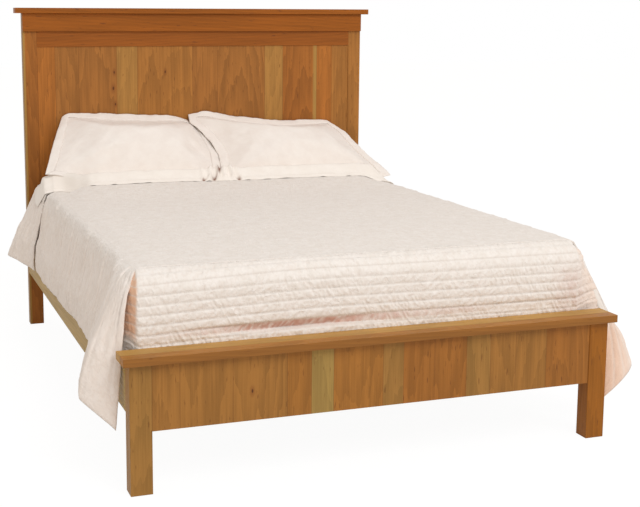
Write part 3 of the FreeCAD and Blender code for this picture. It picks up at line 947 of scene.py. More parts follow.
@dataclass
class PaddedBlock:
    """A mattress or foundation: an upholstered block with rounded edges and a soft crown."""

    node: str
    finish: WovenCotton
    slot: str
    corner: float
    edge: float
    crown: float
    fill: float
    steps: int = 10
    spacing: float = 40 * MM

    crown_shares = (0.8, 0.55, 0.3, 0.1)

    def outline(self, centre: np.ndarray, half: np.ndarray) -> np.ndarray:
        """The plan of the block, rounded at its corners.

        Args:
            centre: the plan's centre.
            half: half its width and half its length.

        Returns:
            Points round the plan, with its straight sides divided into short steps.
        """
        turns = np.linspace(0, math.pi / 2, self.steps)
        arcs = []
        for quarter, way in enumerate(((1, 1), (-1, 1), (-1, -1), (1, -1))):
            turn = turns + quarter * math.pi / 2
            arc = self.corner * np.stack([np.cos(turn), np.sin(turn)], axis=1)
            arcs.append(centre + np.array(way) * (half - self.corner) + arc)
        loop = np.concatenate(arcs)
        pieces = []
        for start, end in zip(loop, np.roll(loop, -1, axis=0)):
            count = max(1, round(float(np.linalg.norm(end - start)) / self.spacing))
            pieces.append(start + (end - start) * (np.arange(count) / count)[:, None])
        return np.concatenate(pieces)

    def build(self) -> None:
        low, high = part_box(self.node)
        centre, half = np.array((low + high) / 2)[:2], np.array((high - low) / 2)[:2]
        base = self.outline(centre, half)
        turns = np.linspace(0, math.pi / 2, self.steps)
        lower = [(self.edge * (1 - math.sin(turn)), self.edge * (1 - math.cos(turn))) for turn in turns]
        upper = [(inset, high.z - low.z - rise) for inset, rise in lower[::-1]]
        loops = []
        for inset, rise in lower + upper:
            plan = centre + (base - centre) * (1 - inset / half)
            loops.append(np.column_stack([plan, np.full(len(base), low.z + rise)]))
        for share in self.crown_shares:
            plan = centre + (loops[-1][:, :2] - centre) * share
            loops.append(np.column_stack([plan, np.full(len(base), high.z - self.crown * share ** 2)]))
        number = np.arange(len(loops) * len(base)).reshape(len(loops), len(base))
        beside = np.roll(number, -1, axis=1)
        walls = np.stack([number[:-1], beside[:-1], beside[1:], number[1:]], axis=-1)
        faces = walls.reshape(-1, 4).tolist() + [number[0, ::-1].tolist(), number[-1].tolist()]
        points = np.concatenate(loops)
        on_top = points[:, 2] > high.z - 0.1 * MM
        uv = np.column_stack([np.tile(walked(base), len(loops)), points[:, 2] + points[:, 1] * on_top])
        block = mesh_object(self.node + "_padded", points, faces, uv)
        wear(block, self.finish.make(self.slot + "_cloth"), FRAME_BODY)
        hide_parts(self.node)


@dataclass(frozen=True)
class Quilting:
    """The coverlet's sewn channels: their pitch, and their fullness at shares of the way between two lines."""

    pitch: float = 31 * MM
    share: Values = (0, 0.125, 0.3, 0.7, 0.875, 1)
    height: Values = (0, 0.85, 1, 0.86, 0.6, 0)

    def fullness(self, share: np.ndarray) -> np.ndarray:
        """A channel's fullness at shares of its width: quickly up from one line, slowly down to the next."""
        return through(self.share, self.height, np.mod(share, 1))


@dataclass(frozen=True)
class Flap:
    """How one front corner of the coverlet hangs: its ridge, and the edge of its slit.

    Reaches and hems are in metres and turns in degrees, and outs are shares of the reach from the top to the hem.
    """

    side: int
    seed: int
    ridge_reach: float
    ridge_turn: float
    ridge_hem: float
    ridge_out: Values
    edge_reach: float
    edge_turn: Values
    edge_hem: float
    edge_out: Values


@dataclass(frozen=True)
class FootEnd:
    """How one end of the foot drop turns back round the corner: values from the top of the drop to its hem.

    Bends and lengths are in millimetres and turns in degrees.
    """

    bend: Values
    turn: Values
    length: Values
    radius: float

    def plan(self, down: np.ndarray, part: np.ndarray) -> tuple[np.ndarray, np.ndarray, np.ndarray]:
        """Works out the end's plan.

        Args:
            down: each row's share of the way down the drop.
            part: each column's share of the way from the bend to the end.

        Returns:
            How far out and how far back each point lies, and its place along the cloth.
        """
        bend, turn, length = (spread(values, down)[:, None] for values in (self.bend, self.turn, self.length))
        turn, way = np.radians(turn), length * MM * part[None, :]
        curved = np.minimum(way, self.radius * turn)
        straight, angle = way - curved, curved / self.radius
        out = bend * MM + self.radius * np.sin(angle) + straight * np.cos(turn)
        back = self.radius * (1 - np.cos(angle)) + straight * np.sin(turn)
        return out, back, bend * MM + way


@dataclass(frozen=True)
class FootGrid:
    """The foot drop's grid of points: where each lies on the cloth, and how the quilting shapes it there.

    x and back are places round the bed's foot, and reach and along are places on the flat cloth, in metres.
    ends is the share of the way out along a turned end. puff is the channels' fullness, pucker their puckers,
    and band the share to which a point lies in the band that is pressed in.
    """

    x: np.ndarray
    back: np.ndarray
    reach: np.ndarray
    along: np.ndarray
    ends: np.ndarray
    puff: np.ndarray
    pucker: np.ndarray
    band: np.ndarray

    @property
    def across(self) -> np.ndarray:
        """Places across the flat cloth, in millimetres."""
        return self.reach / MM

    @property
    def down(self) -> np.ndarray:
        """Places down the flat cloth, in millimetres."""
        return self.along / MM


@dataclass
class FootDrop:
    """The coverlet's drop at the foot: sewn channels that arch between split corners and are pressed in low down.

    Tables and the heights of the relief are in millimetres, across from the bed's middle and down from the roll.
    """

    top: float
    foot: float
    thickness: float
    quilting: Quilting
    radius: float = 58 * MM
    hem: float = 380 * MM
    rows_per_channel: int = 8
    end_columns: int = 26
    front_columns: int = 531
    left_end: FootEnd = FootEnd((764, 766, 766, 766, 767), (88, 72, 60, 57, 56), (24, 52, 76, 88, 94), 12 * MM)
    right_end: FootEnd = FootEnd(
        (748, 744, 738, 738, 738), (80, 60, 30, 20, 15), (12, 42, 104, 138, 150), 45 * MM)
    bottom: float = field(init=False)
    quarter: float = field(init=False)
    length: float = field(init=False)
    channels: int = field(init=False)

    first_sewn = 2
    arch_across = (-780, -740, -450, -200, 60, 650, 780)
    arch_place = (69, 68, 58, 53, 56, 61, 62)
    arch_fade = 1.4
    end_tuck, end_shortening = 22 * MM, 0.075
    pucker_patches = Noise(90, 45, 50)
    patch_limit = 0.35
    puckers = Noise(6.5, 20, 52, (0, 17), (0.82, 0.57)), Noise(6, 18, 53, (0, 60), (0.9, -0.43))
    waves, wave_height, wave_share, wave_starts = Noise(380, 160, 51, (5, 2)), 4, 0.8, (20, 120)
    kick_start, kick_end = (206, 214), (234, 239)
    kick_depth, kick_middle, kick_width, kick_right = 24, -270, 210, 0.12
    mattress_edge, mattress_gap = 57, 3
    plain_height, puff_height = 5.6, 4.2
    pucker_least, pucker_puffed, pucker_lowest, pucker_kicked = 0.5, 1.9, 1.6, 1.5
    tucked_height, tucked_room, tucked_place = 9, 20, (264, 244)
    cloth_gap, cloth_least, cloth_most = 1.2 * MM, 2 * MM, 9 * MM
    blush_middle, blush_width, blush_right, corner_blush = -255, 270, 0.22, 0.3
    seam_share = 0.28

    def __post_init__(self) -> None:
        """Works out how long the drop is and how many channels it has."""
        self.bottom = self.top - self.thickness
        self.quarter = self.radius * math.pi / 2
        self.length = self.quarter + self.bottom - self.radius - self.hem
        self.channels = round(self.length / self.quilting.pitch)

    def grid(self) -> FootGrid:
        """Lays the grid out over the front and the two turned ends.

        Returns:
            The grid, with a row of points on every sewn line.
        """
        ends, step = (self.left_end, self.right_end), self.length / self.channels
        level = np.linspace(0, self.length, self.channels * self.rows_per_channel + 1)
        part, middle = np.linspace(0, 1, self.end_columns + 1)[1:], np.linspace(0, 1, self.front_columns)
        left, right = (end.plan(level / self.length, part) for end in ends)
        first, last = (end.plan(level / self.length, np.zeros(1))[0] for end in ends)
        front = -first + (first + last) * middle[None, :]
        x, back, reach = (
            np.concatenate([-way * near[:, ::-1], flat, far], axis=1)
            for way, near, flat, far in zip((1, -1, 1), left, (front, 0 * front, front), right)
        )
        arch = through(self.arch_across, self.arch_place, reach / MM) * MM - self.first_sewn * step
        fade = self.arch_fade * step
        arched = smooth(level, 0, fade) * smooth(level, self.length, self.length - fade)
        along = level[:, None] + arch * arched[:, None]
        across, down = reach / MM, along / MM
        leaning = smooth(self.pucker_patches.at(across, down), -self.patch_limit, self.patch_limit)
        one_way, other_way = (pucker.at(across, down) for pucker in self.puckers)
        return FootGrid(
            x, back, reach, along, np.concatenate([part[::-1], 0 * middle, part])[None, :],
            self.quilting.fullness(level / step)[:, None], leaning * one_way + (1 - leaning) * other_way,
            smooth(down, *self.kick_start) - smooth(down, *self.kick_end),
        )

    def relief(self, grid: FootGrid) -> np.ndarray:
        """How far the cloth stands out from the mattress.

        Args:
            grid: the drop's grid.

        Returns:
            Lengths in metres: channels, puckers and waves, less where the cloth is pressed in.
        """
        across, down, pucker = grid.across, grid.down, grid.pucker
        wave = self.wave_height * self.waves.at(across, down) * smooth(down, *self.wave_starts)
        kick = grid.band * (
            bell(across, self.kick_middle, self.kick_width) + self.kick_right * smooth(across, -200, 200))
        edge_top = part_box("mattress")[0].z / MM + self.mattress_edge
        height = (self.bottom - self.radius + self.quarter) / MM - down
        under = np.clip((edge_top - height) / self.mattress_edge, 0, 1)
        least = self.mattress_gap - self.mattress_edge * (1 - np.sqrt(1 - under ** 2))
        lowest = smooth(down, *self.kick_end)
        puckering = self.pucker_least + self.pucker_puffed * grid.puff + self.pucker_lowest * lowest
        out = self.plain_height + self.puff_height * grid.puff + pucker * puckering
        out = out + np.maximum(wave, -self.wave_height / 2) * self.wave_share
        pressed = least + self.pucker_kicked * (1 + pucker)
        out = np.maximum(out - self.kick_depth * kick, np.minimum(pressed, out))
        return np.minimum(out, self.tucked_height + self.tucked_room * smooth(down, *self.tucked_place)) * MM

    def points(self, grid: FootGrid, out: np.ndarray) -> np.ndarray:
        """Points of the drop's outer face: round the roll, then straight down, shorter at its turned ends.

        Args:
            grid: the drop's grid.
            out: how far the cloth stands out.

        Returns:
            Rows and columns of points.
        """
        tuck = self.end_tuck * smooth(grid.ends, 0, 0.4) * smooth(grid.along, 1.2 * self.quarter, 0)
        shorten = 1 - self.end_shortening * smooth(grid.ends, 0, 0.6) * grid.along / self.length
        radius = self.radius + out
        angle = np.minimum(grid.along, self.quarter) / self.radius
        fall = np.maximum(grid.along - self.quarter, 0)
        y = self.foot - radius * np.sin(angle) + grid.back
        z = self.bottom - self.radius + radius * np.cos(angle) - fall
        return grid_points(grid.x, y, self.top - (self.top - z) * shorten - tuck)

    def tint(self, piece: Object, grid: FootGrid) -> None:
        """Marks where painted shade darkens the cloth: its turned ends, where it is drawn in, and its sewn lines.

        Args:
            piece: the drop.
            grid: its grid.
        """
        across, down, ends, pucker = grid.across, grid.down, grid.ends, grid.pucker
        # Painted shade in peach: deep in the left end's shaded pocket, fading out low down, and lighter over the
        # right end.
        left_fold = smooth(ends, 0.06, 0.3) * (0.55 + 0.45 * grid.puff) * smooth(down, 250, 215)
        right_fold = 0.3 * smooth(ends, 0, 0.8)
        shade(piece, "fold", np.where(across < 0, left_fold, right_fold))
        # Painted shade in rose over the band that is pressed in, strongest left of the middle, and near the right
        # corner.
        drawn = bell(across, self.blush_middle, self.blush_width)
        drawn = drawn + self.blush_right * smooth(across, -200, 100) * smooth(across, 480, 300)
        fade = smooth(down, self.kick_end[0] + 1, self.kick_end[0] - 4)
        drawn = drawn * grid.band * (0.9 + 0.6 * pucker) * fade
        corner = smooth(across, 610, 740) * smooth(ends, 0.7, 0) * smooth(down, 60, 150)
        shade(piece, "blush", drawn + self.corner_blush * corner * (0.8 + 0.6 * pucker))
        # Dull painted shade along each sewn groove, less on the turned ends.
        sewn = np.zeros(grid.along.shape)
        sewn[self.first_sewn * self.rows_per_channel:-1:self.rows_per_channel] = self.seam_share
        shade(piece, "seam", sewn * (1 - 0.8 * smooth(ends, 0, 0.1)))

    def build(self) -> tuple[Object, list[np.ndarray]]:
        """Builds the foot drop and finds its sewn lines.

        Returns:
            The foot drop, and the points of each sewn line on its face that shows.
        """
        grid = self.grid()
        out = self.relief(grid)
        points = self.points(grid, out)
        thickness = np.clip(out - self.cloth_gap, self.cloth_least, self.cloth_most)
        piece = closed_cloth("coverlet_foot_drop", points, thickness, grid_points(grid.reach, -grid.along))
        self.tint(piece, grid)
        return piece, [points[row * self.rows_per_channel] for row in range(self.first_sewn, self.channels - 1)]


@dataclass
class Coverlet:
    """The quilted coverlet: one cloth over the bed's top and sides, slit at its corners, and its foot drop.

    Tables and the heights of the relief are in millimetres, and outs are shares of a drop's reach.
    """

    thickness: float = 9 * MM
    quilting: Quilting = Quilting()
    side_reach: float = 84 * MM
    side_hem: float = 307 * MM
    slit_place: float = 718 * MM
    slit_width: float = 18 * MM
    head_reach: float = 162 * MM
    head_hem: float = 338 * MM
    flare_start: float = -688 * MM
    corner_place: float = -887 * MM
    drop_length: float = 380 * MM
    crown: float = 11 * MM
    crown_run: float = 330 * MM
    crown_end: float = 200 * MM
    fold_place: float = 590 * MM
    fold_ahead: float = 190 * MM
    fold_behind: float = 55 * MM
    left: Flap = Flap(
        -1, 3, 198 * MM, 13.5, 273 * MM, (0, 0.14, 0.28, 0.46, 0.72, 0.86, 0.95, 1),
        124 * MM, (36, 39), 185 * MM, (0, 0.20, 0.34, 0.555, 0.725, 0.81, 0.90, 1),
    )
    right: Flap = Flap(
        1, 8, 258 * MM, 23.0, 216 * MM, (0, 0.07, 0.13, 0.26, 0.57, 0.76, 0.89, 1),
        134 * MM, (12, 17, 38), 110 * MM, (0, 0.14, 0.28, 0.57, 0.94, 1.0, 1.02, 1),
    )
    top: float = field(init=False)
    roll: float = field(init=False)
    foot: float = field(init=False)
    head: float = field(init=False)

    rows_per_channel, flap_rows, drop_columns, top_columns = 6, 26, 45, 37
    hem_middle = (-290 * MM, 220 * MM)
    hem_rise = (18, 29, 13, 10)
    fold_across, fold_height = (-760, -300, 0, 760), (41, 41, 33, 33)
    fold_inset, brim_inset = 130 * MM, 50 * MM
    swells, swell_height = Noise(330 * MM, 290 * MM, 21, (3, 9)), 2.5 * MM
    down_shares = (0, 0.02, 0.09, 0.26, 0.54, 0.70, 0.85, 1)
    side_out = (0, 0.22, 0.36, 0.52, 0.78, 0.96, 1, 1)
    head_out = (0, 0.10, 0.20, 0.37, 0.62, 0.77, 0.89, 1)
    wave_height, wave_run = 2.6, 76
    folds, drop_fold_height = Noise(70, 1 / 0.8, 0, (40, 7)), 2.4
    creases, crease_height = Noise(17, 1 / 2.2, 1), 1.3
    hem_sway, sway_height = Noise(60, 1, 2), 2 * MM
    hang_fade, loose_out = 1.3, 6
    puckers, fulls = Noise(13, 15, 31, (0, 90)), Noise(70, 45, 33, (0, 20))
    top_puff, drop_puff, drop_full = 1.2, 1.2, 9.0
    top_pucker, drop_pucker = 0.5, 1.0
    cloth_least, cloth_puff = 2 * MM, 1 * MM

    def __post_init__(self) -> None:
        """Reads the coverlet's place from the frame."""
        low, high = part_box("coverlet_top")
        self.top, self.roll, self.foot, self.head = high.z, high.x, low.y, high.y

    def rows(self) -> np.ndarray:
        """Places of the grid's rows along the bed, from the head to the slit corner, closer in the flap.

        Returns:
            Falling places, with a step over the slit at the head.
        """
        step = self.quilting.pitch / self.rows_per_channel
        head_rows, side_rows = (
            round(length / step) for length in (self.head - self.slit_place, self.slit_place - self.corner_place)
        )
        head = np.linspace(self.head, self.slit_place + self.slit_width, head_rows)
        side = np.linspace(self.slit_place, self.corner_place, side_rows)
        flap = np.linspace(self.corner_place, self.foot, self.flap_rows)[1:]
        return np.concatenate([head, side, flap])

    def drop(self, flap: Flap, y: np.ndarray, share: np.ndarray) -> np.ndarray:
        """Points of one side drop's outer face.

        Args:
            flap: the drop's front corner.
            y: places of the rows along the bed.
            share: shares of the way down the drop, from its rolled edge to its hem.

        Returns:
            Rows and columns of points.
        """
        places = (self.foot, self.corner_place, self.flare_start, *self.hem_middle, self.slit_place)
        plain_places = len(self.hem_rise)
        hems = (flap.edge_hem, flap.ridge_hem, *(self.side_hem + rise * MM for rise in self.hem_rise))
        reaches = (flap.edge_reach, flap.ridge_reach, *[self.side_reach] * plain_places)
        turns = (flap.ridge_turn, flap.ridge_turn, *[0] * plain_places)
        hem, reach, ridge_turn = (through(places, values, y)[:, None] for values in (hems, reaches, turns))
        beyond_slit = (y > self.slit_place + self.slit_width / 2)[:, None]
        head = smooth(y, self.slit_place, self.head)[:, None] * beyond_slit
        hem = hem + (self.head_hem - self.side_hem) * head
        reach = reach + (self.head_reach - self.side_reach) * head
        outs = self.down_shares, self.side_out, flap.ridge_out, flap.edge_out, self.head_out, flap.edge_turn
        down, plain, ridged, edged, headed, edge_turn = (spread(values, share)[None, :] for values in outs)
        at_edge = smooth(y, self.corner_place, self.foot)[:, None]
        at_ridge = smooth(y, self.flare_start, self.corner_place)[:, None]
        profile = plain * (1 - at_ridge) + ridged * at_ridge
        profile = (profile * (1 - at_edge) + edged * at_edge) * (1 - head) + headed * head
        turn = np.radians(ridge_turn * (1 - at_edge) + edge_turn * at_edge)
        place, level = y[:, None] / MM, share[None, :]
        fade = level ** self.hang_fade
        fold = self.wave_height * np.cos(place / self.wave_run)
        fold = fold + self.drop_fold_height * self.folds.at(place, level, flap.seed)
        crease = self.crease_height * self.creases.at(place, level, flap.seed)
        loose = self.loose_out * beyond_slit * smooth(level, 0, 0.12)
        out = reach * profile + ((fold + crease) * fade + loose) * MM
        sway = self.sway_height * self.hem_sway.at(place, 0 * level + flap.seed, flap.seed)
        z = self.top - down * (self.top - hem) - sway * fade
        x = flap.side * (self.roll + out * np.cos(turn))
        return grid_points(x, y[:, None] - out * np.sin(turn), z)

    def lie(self, x: np.ndarray, y: np.ndarray) -> np.ndarray:
        """How far the top stands above its level: a low crown, a soft fold before the pillows, and slight swells.

        Args:
            x: places across the bed.
            y: places along the bed.

        Returns:
            Heights, in the common shape of the places.
        """
        inside, brim = (
            smooth(np.abs(x), self.roll, self.roll - inset) for inset in (self.fold_inset, self.brim_inset)
        )
        width = np.where(y < self.fold_place, self.fold_ahead, self.fold_behind)
        fold = through(self.fold_across, self.fold_height, x / MM) * MM * bell(y, self.fold_place, width)
        crown = self.crown * (1 - np.clip(1 - (y - self.foot) / self.crown_run, 0, 1) ** 2)
        crown = crown * smooth(y, self.fold_place, self.crown_end)
        return inside * (fold + self.swell_height * self.swells.at(x, y)) + brim * crown

    def cloth_along(self, points: np.ndarray, y: np.ndarray) -> np.ndarray:
        """Places along the cloth, which follows its own length in the flaps.

        Args:
            points: rows and columns of the grid.
            y: places of the rows along the bed.

        Returns:
            Each row's place, from 0 at the foot.
        """
        way = walked(points[:, self.drop_columns // 2])
        way = self.corner_place - (way - np.interp(-self.corner_place, -y, way))
        return self.foot - np.where(y < self.corner_place, way, y)

    def build_top(self) -> Object:
        """Builds the cloth over the top, the sides and the flaps.

        Returns:
            The cloth, slit at the head on each side.
        """
        y, share = self.rows(), np.linspace(0, 1, self.drop_columns + 1)[1:]
        x = self.roll * np.sin(np.linspace(-1, 1, self.top_columns) * math.pi / 2)
        left, right = (self.drop(flap, y, share) for flap in (self.left, self.right))
        over = grid_points(x[None, :], y[:, None], self.top + self.lie(x[None, :], y[:, None]))
        points = np.concatenate([left[:, ::-1], over, right], axis=1)
        along = self.cloth_along(points, y)[:, None]
        reach = self.roll + share * self.drop_length
        across = np.concatenate([-reach[::-1], x, reach])[None, :]
        at_hem = np.concatenate([share[::-1], 0 * x, share])[None, :]
        normals = grid_normals(points)
        normals *= np.sign(normals[len(y) // 2, points.shape[1] // 2, 2])
        hanging = np.minimum(at_hem * 4, 1)
        puff = self.quilting.fullness(1 - np.mod(along / self.quilting.pitch, 1))
        pucker = self.puckers.at(across / MM, along / MM)
        full = np.maximum(self.fulls.at(across / MM, along / MM), 0)
        lift = puff * (self.top_puff + (self.drop_puff + self.drop_full * full) * hanging)
        lift = lift + pucker * (self.top_pucker + self.drop_pucker * hanging)
        lift = lift * (1 - 0.7 * smooth(at_hem, 0.93, 1))
        points = points + normals * (lift * MM)[..., None]
        thickness = np.broadcast_to(self.thickness - self.cloth_least + puff * self.cloth_puff, points.shape[:2])
        kept = np.ones((len(y) - 1, points.shape[1] - 1), bool)
        slit = int(np.argmin(np.abs(y - self.slit_place - self.slit_width)))
        kept[slit, :len(share)] = kept[slit, -len(share):] = False
        quilt = closed_cloth("coverlet_quilt", points, thickness, grid_points(across, along), kept)
        # Painted shade in peach over the right flap's turned front, which hangs in shade, and a faint one over
        # the left drop.
        turned = smooth(y, self.corner_place + 30 * MM, self.foot)[:, None]
        right_fold = turned * smooth(at_hem, 0.52, 0.66) * (0.45 + 0.3 * puff)
        left_fold = 0.12 * smooth(at_hem, 0.1, 0.5)
        shade(quilt, "fold", np.where(across > 0, right_fold, left_fold))
        return quilt

    def build(self, sewing: Stitching) -> None:
        """Args:
            sewing: sews the foot drop's channels.
        """
        cotton = QUILTED_COTTON.make("quilted_cotton_sateen")
        quilt = wear(self.build_top(), cotton, FRAME_BODY)
        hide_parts("coverlet_top", "coverlet_drop_left", "coverlet_drop_right")
        foot, lines = FootDrop(self.top, self.foot, self.thickness, self.quilting).build()
        wear(foot, cotton, FRAME_BODY)
        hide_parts("coverlet_drop_foot")
        thread = THREAD.make("sewing_thread")
        rows = wear(sewing.sew("coverlet_stitches", lines, thread), thread, FRAME_BODY)


@dataclass(frozen=True)
class Gather:
    """A fold of the sheet where the pillows meet: its place and lean across the bed, width and height, in mm."""

    place: float
    lean: float
    width: float
    height: float


@dataclass(frozen=True)
class Crease:
    """A tight crease in the sheet: place, width and lean in mm, and place and length up the band in shares."""

    place: float
    up: float
    width: float
    length: float
    lean: float


@dataclass
class TurnedSheet:
    """The top sheet's turned-down band in front of the pillows, gathered where they meet.

    Tables are in millimetres, and path_back is in shares of the way from the band's front edge to its back.
    """

    coverlet: Coverlet
    thickness: float = 2 * MM
    hang: float = 112 * MM
    depth: float = 360 * MM
    left_room: float = 8 * MM

    columns, rows, sewn_row = 441, 44, 6
    path_back = (0, 0.18, 0.42, 0.70, 0.86, 1)
    path_y = (588, 606, 644, 692, 800, 986)
    path_rise = (1, 16, 70, 74, 14, 2)
    swept_from = (520, 600, 650, 712, 750, 862)
    left_swept, right_swept = (0, 8, 50, 128, 138, 214), (0, 0, 0, 3, 7, 20)
    left_fall = (73, 73, 71, 66, 46, 6)
    right_out, right_fall = (62, 84), (24, 52)
    left_fade, right_fade = (105 * MM, -25 * MM), (60 * MM, -60 * MM)
    gathers = (
        Gather(-118, 24, 8, 9), Gather(-86, 44, 11, 18), Gather(-50, 34, 8, 24),
        Gather(-12, 10, 12, 15), Gather(26, -16, 8, 22), Gather(64, -44, 10, 12),
    )
    creases = (
        Crease(-60, 0.10, 10, 0.08, 60), Crease(-30, 0.34, 7, 0.11, 90),
        Crease(-110, 0.07, 8, 0.05, 70), Crease(50, 0.07, 8, 0.05, -80),
    )
    crease_depth = 7
    sway, sway_height = Noise(140, 1, 61, (0, 3)), 5
    ripples = ((2.4, Noise(60, 1 / 3, 62)), (1.2, Noise(22, 1 / 4, 63)))
    edge_lift, edge_height, edge_least, edge_share = Noise(30, 1, 64, (0, 8)), 4, 0.3, 0.08
    bed_gap, level_rise = 1.2, 2.4

    def right_end(self, share: np.ndarray, part: np.ndarray) -> tuple[np.ndarray, np.ndarray]:
        """How far out and how far down the band's right end hangs.

        Args:
            share: each column's share of the way from the front edge to the back.
            part: each row's share of the way from the bed's edge to the band's end.

        Returns:
            The lengths outwards and downwards.
        """
        later = smooth(share, 0.1, 0.85)[None, :]
        out, fall = (ends[0] + (ends[1] - ends[0]) * later for ends in (self.right_out, self.right_fall))
        return out * MM * np.sin(part * math.pi / 2), fall * MM * (1 - np.cos(part * math.pi / 2))

    def left_out(self, y: np.ndarray, z: np.ndarray) -> np.ndarray:
        """How far beyond the bed's edge the band lies on the coverlet's left drop.

        Args:
            y: places along the bed.
            z: heights.

        Returns:
            The lengths outwards.
        """
        places = np.linspace(self.swept_from[0] * MM, self.coverlet.head, 96)
        drop = self.coverlet.drop(self.coverlet.left, places, np.linspace(0, 1, 46))
        near = np.clip(np.searchsorted(places, y), 0, len(places) - 1)
        out = [np.interp(-height, -drop[row, :, 2], -drop[row, :, 0]) for row, height in zip(near.flat, z.flat)]
        return np.array(out).reshape(y.shape) - self.coverlet.roll + self.left_room

    def plan(self, along: np.ndarray, share: np.ndarray, part: np.ndarray) -> tuple[np.ndarray, ...]:
        """Where the band lies on the bed and on its two sides.

        Args:
            along: each row's place along the band, from its middle.
            share: each column's share of the way from the front edge to the back.
            part: each row's share of the way from the bed's edge to the band's end.

        Returns:
            Places across and along the bed, and how far the band hangs down.
        """
        roll, place = self.coverlet.roll, along[:, None] / MM
        left = place < 0
        aside = np.clip(np.abs(place), self.swept_from[0], None)
        ways = self.left_swept, self.right_swept
        swept = np.where(left, *(through(self.swept_from, way, aside) for way in ways))
        swept = swept + self.sway_height * self.sway.at(place, 0 * place) * (1 - part)
        back = through(self.path_back, self.path_y, share)[None, :]
        first, last = self.path_y[0], self.path_y[-1]
        y = (back + swept * (last - back) / (last - first)) * MM
        out, fall = self.right_end(share, part)
        fall = np.where(left, part * through(self.path_back, self.left_fall, share)[None, :] * MM, fall)
        hung = self.left_out(*np.broadcast_arrays(y, self.coverlet.top - fall))
        out = np.where(left, hung * smooth(part, 0, 0.12), out)
        return np.sign(place) * (np.minimum(np.abs(along), roll)[:, None] + out), y, fall

    def relief(self, along: np.ndarray, share: np.ndarray, part: np.ndarray) -> tuple[np.ndarray, np.ndarray]:
        """How far the band stands above the coverlet, and where it is creased.

        Args:
            along: each row's place along the band, from its middle.
            share: each column's share of the way from the front edge to the back.
            part: each row's share of the way from the bed's edge to the band's end.

        Returns:
            Heights in metres, and shares of the creases' painted shade.
        """
        roll, place, share = self.coverlet.roll, along[:, None] / MM, share[None, :]
        fades = ((roll + low, roll + high) for low, high in (self.left_fade, self.right_fade))
        inside = np.where(place < 0, *(smooth(np.abs(along), *fade)[:, None] for fade in fades))
        rise = through(self.path_back, self.path_rise, share)
        fold = sum(one.height * bell(place, one.place + one.lean * share, one.width) for one in self.gathers)
        fold = fold * smooth(share, 0.0, 0.14) * smooth(share, 0.6, 0.3)
        crease = sum(
            bell(place, one.place + one.lean * (share - one.up), one.width) * bell(share, one.up, one.length)
            for one in self.creases
        )
        ripple = sum(height * noise.at(place, share) for height, noise in self.ripples)
        lifted = np.maximum(self.edge_lift.at(place, 0 * place) - self.edge_least, 0)
        lifted = lifted * bell(share, 0, self.edge_share)
        level = smooth(share, 0, 0.1) * (1 - 0.6 * part)
        height = self.bed_gap + (self.level_rise + ripple) * level + rise * inside
        height = height + fold - self.crease_depth * crease + self.edge_height * lifted
        return height * MM, crease

    def build(self, sewing: Stitching) -> None:
        """Args:
            sewing: sews the band's hem.
        """
        roll = self.coverlet.roll
        along = np.linspace(-roll - self.hang, roll + self.hang, self.columns)
        share = np.linspace(0, 1, self.rows)
        part = (np.maximum(np.abs(along) - roll, 0) / self.hang)[:, None]
        x, y, fall = self.plan(along, share, part)
        height, crease = self.relief(along, share, part)
        lie = self.coverlet.lie(np.clip(x, -roll, roll), y)
        points = grid_points(x, y, self.coverlet.top + lie - fall + height)
        if grid_normals(points)[self.columns // 2, 4, 2] < 0:
            points, along, crease = points[::-1], along[::-1], crease[::-1]
        uv = grid_points(along[:, None], share[None, :] * self.depth)
        thickness = np.full(points.shape[:2], self.thickness)
        cotton = SHEET_COTTON.make("cotton_percale")
        band = wear(closed_cloth("turned_sheet", points, thickness, uv), cotton, FRAME_BODY)
        # Painted shade darkens the band in its tight creases.
        shade(band, "crease", crease)
        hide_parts("top_sheet")
        thread = SHEET_THREAD.make("white_sewing_thread")
        sewn = sewing.sew("turned_sheet_stitches", [points[:, self.sewn_row]], thread)
        hem = wear(sewn, thread, FRAME_BODY)


@dataclass(frozen=True)
class Dent:
    """A hollow pressed into a pillow's front, at shares of its width and height, with its sizes as shares."""

    across: float
    up: float
    half_width: float
    half_height: float
    depth: float
    slant: float = 0.0

    def at(self, across: np.ndarray, up: np.ndarray) -> np.ndarray:
        """The hollow's depth at places on the pillow."""
        middle = self.across + self.slant * (up - self.up)
        return self.depth * bell(across, middle, self.half_width) * bell(up, self.up, self.half_height)


@dataclass(frozen=True)
class Slump:
    """The form that a pillow takes as it slumps: its side edges, its upper edge, its lower edge and its dents.

    Edges are in millimetres: the side edges from bottom to top, and the upper one at places across the pillow,
    which run from -1 to 1. The lower edge's rise is a share of the pillow's height.
    """

    left_edge: Values
    right_edge: Values
    across: Values
    upper_edge: Values
    lower_rise: Values
    dents: tuple[Dent, ...] = ()

    lower_across = (-1, -0.85, -0.6, -0.4, 0.8, 1)


LEFT_SLUMP = Slump(
    left_edge=(-798, -782, -753, -722, -688, -652),
    right_edge=(-14, 0, 12, 22, 30, 33, 29, 20, 8, -9, -44),
    across=(-1, -0.93, -0.87, -0.48, 0.07, 0.39, 0.74, 0.86, 0.98, 1),
    upper_edge=(955, 969, 973, 971, 961, 957, 948, 935, 920, 913),
    lower_rise=(0.23, 0.20, 0.12, 0.05, 0, 0.04),
    dents=(Dent(-0.70, 0.32, 0.14, 0.22, 22 * MM, 0.25), Dent(-0.28, 0.62, 0.05, 0.3, 6 * MM, 0.5)),
)
RIGHT_SLUMP = Slump(
    left_edge=(6, 10, 13, 20, 25, 17, 4, -12, -36, -61, -57),
    right_edge=(830, 803, 766, 739, 713, 656),
    across=(-1, -0.77, -0.57, -0.37, -0.11, 0.16, 0.52, 0.81, 0.95, 1),
    upper_edge=(955, 966, 956, 943, 930, 917, 915, 914, 911, 903),
    lower_rise=(0.15, 0.08, 0.02, 0, 0, 0.03),
    dents=(Dent(-0.5, 0.55, 0.05, 0.3, 6 * MM, -0.4),),
)


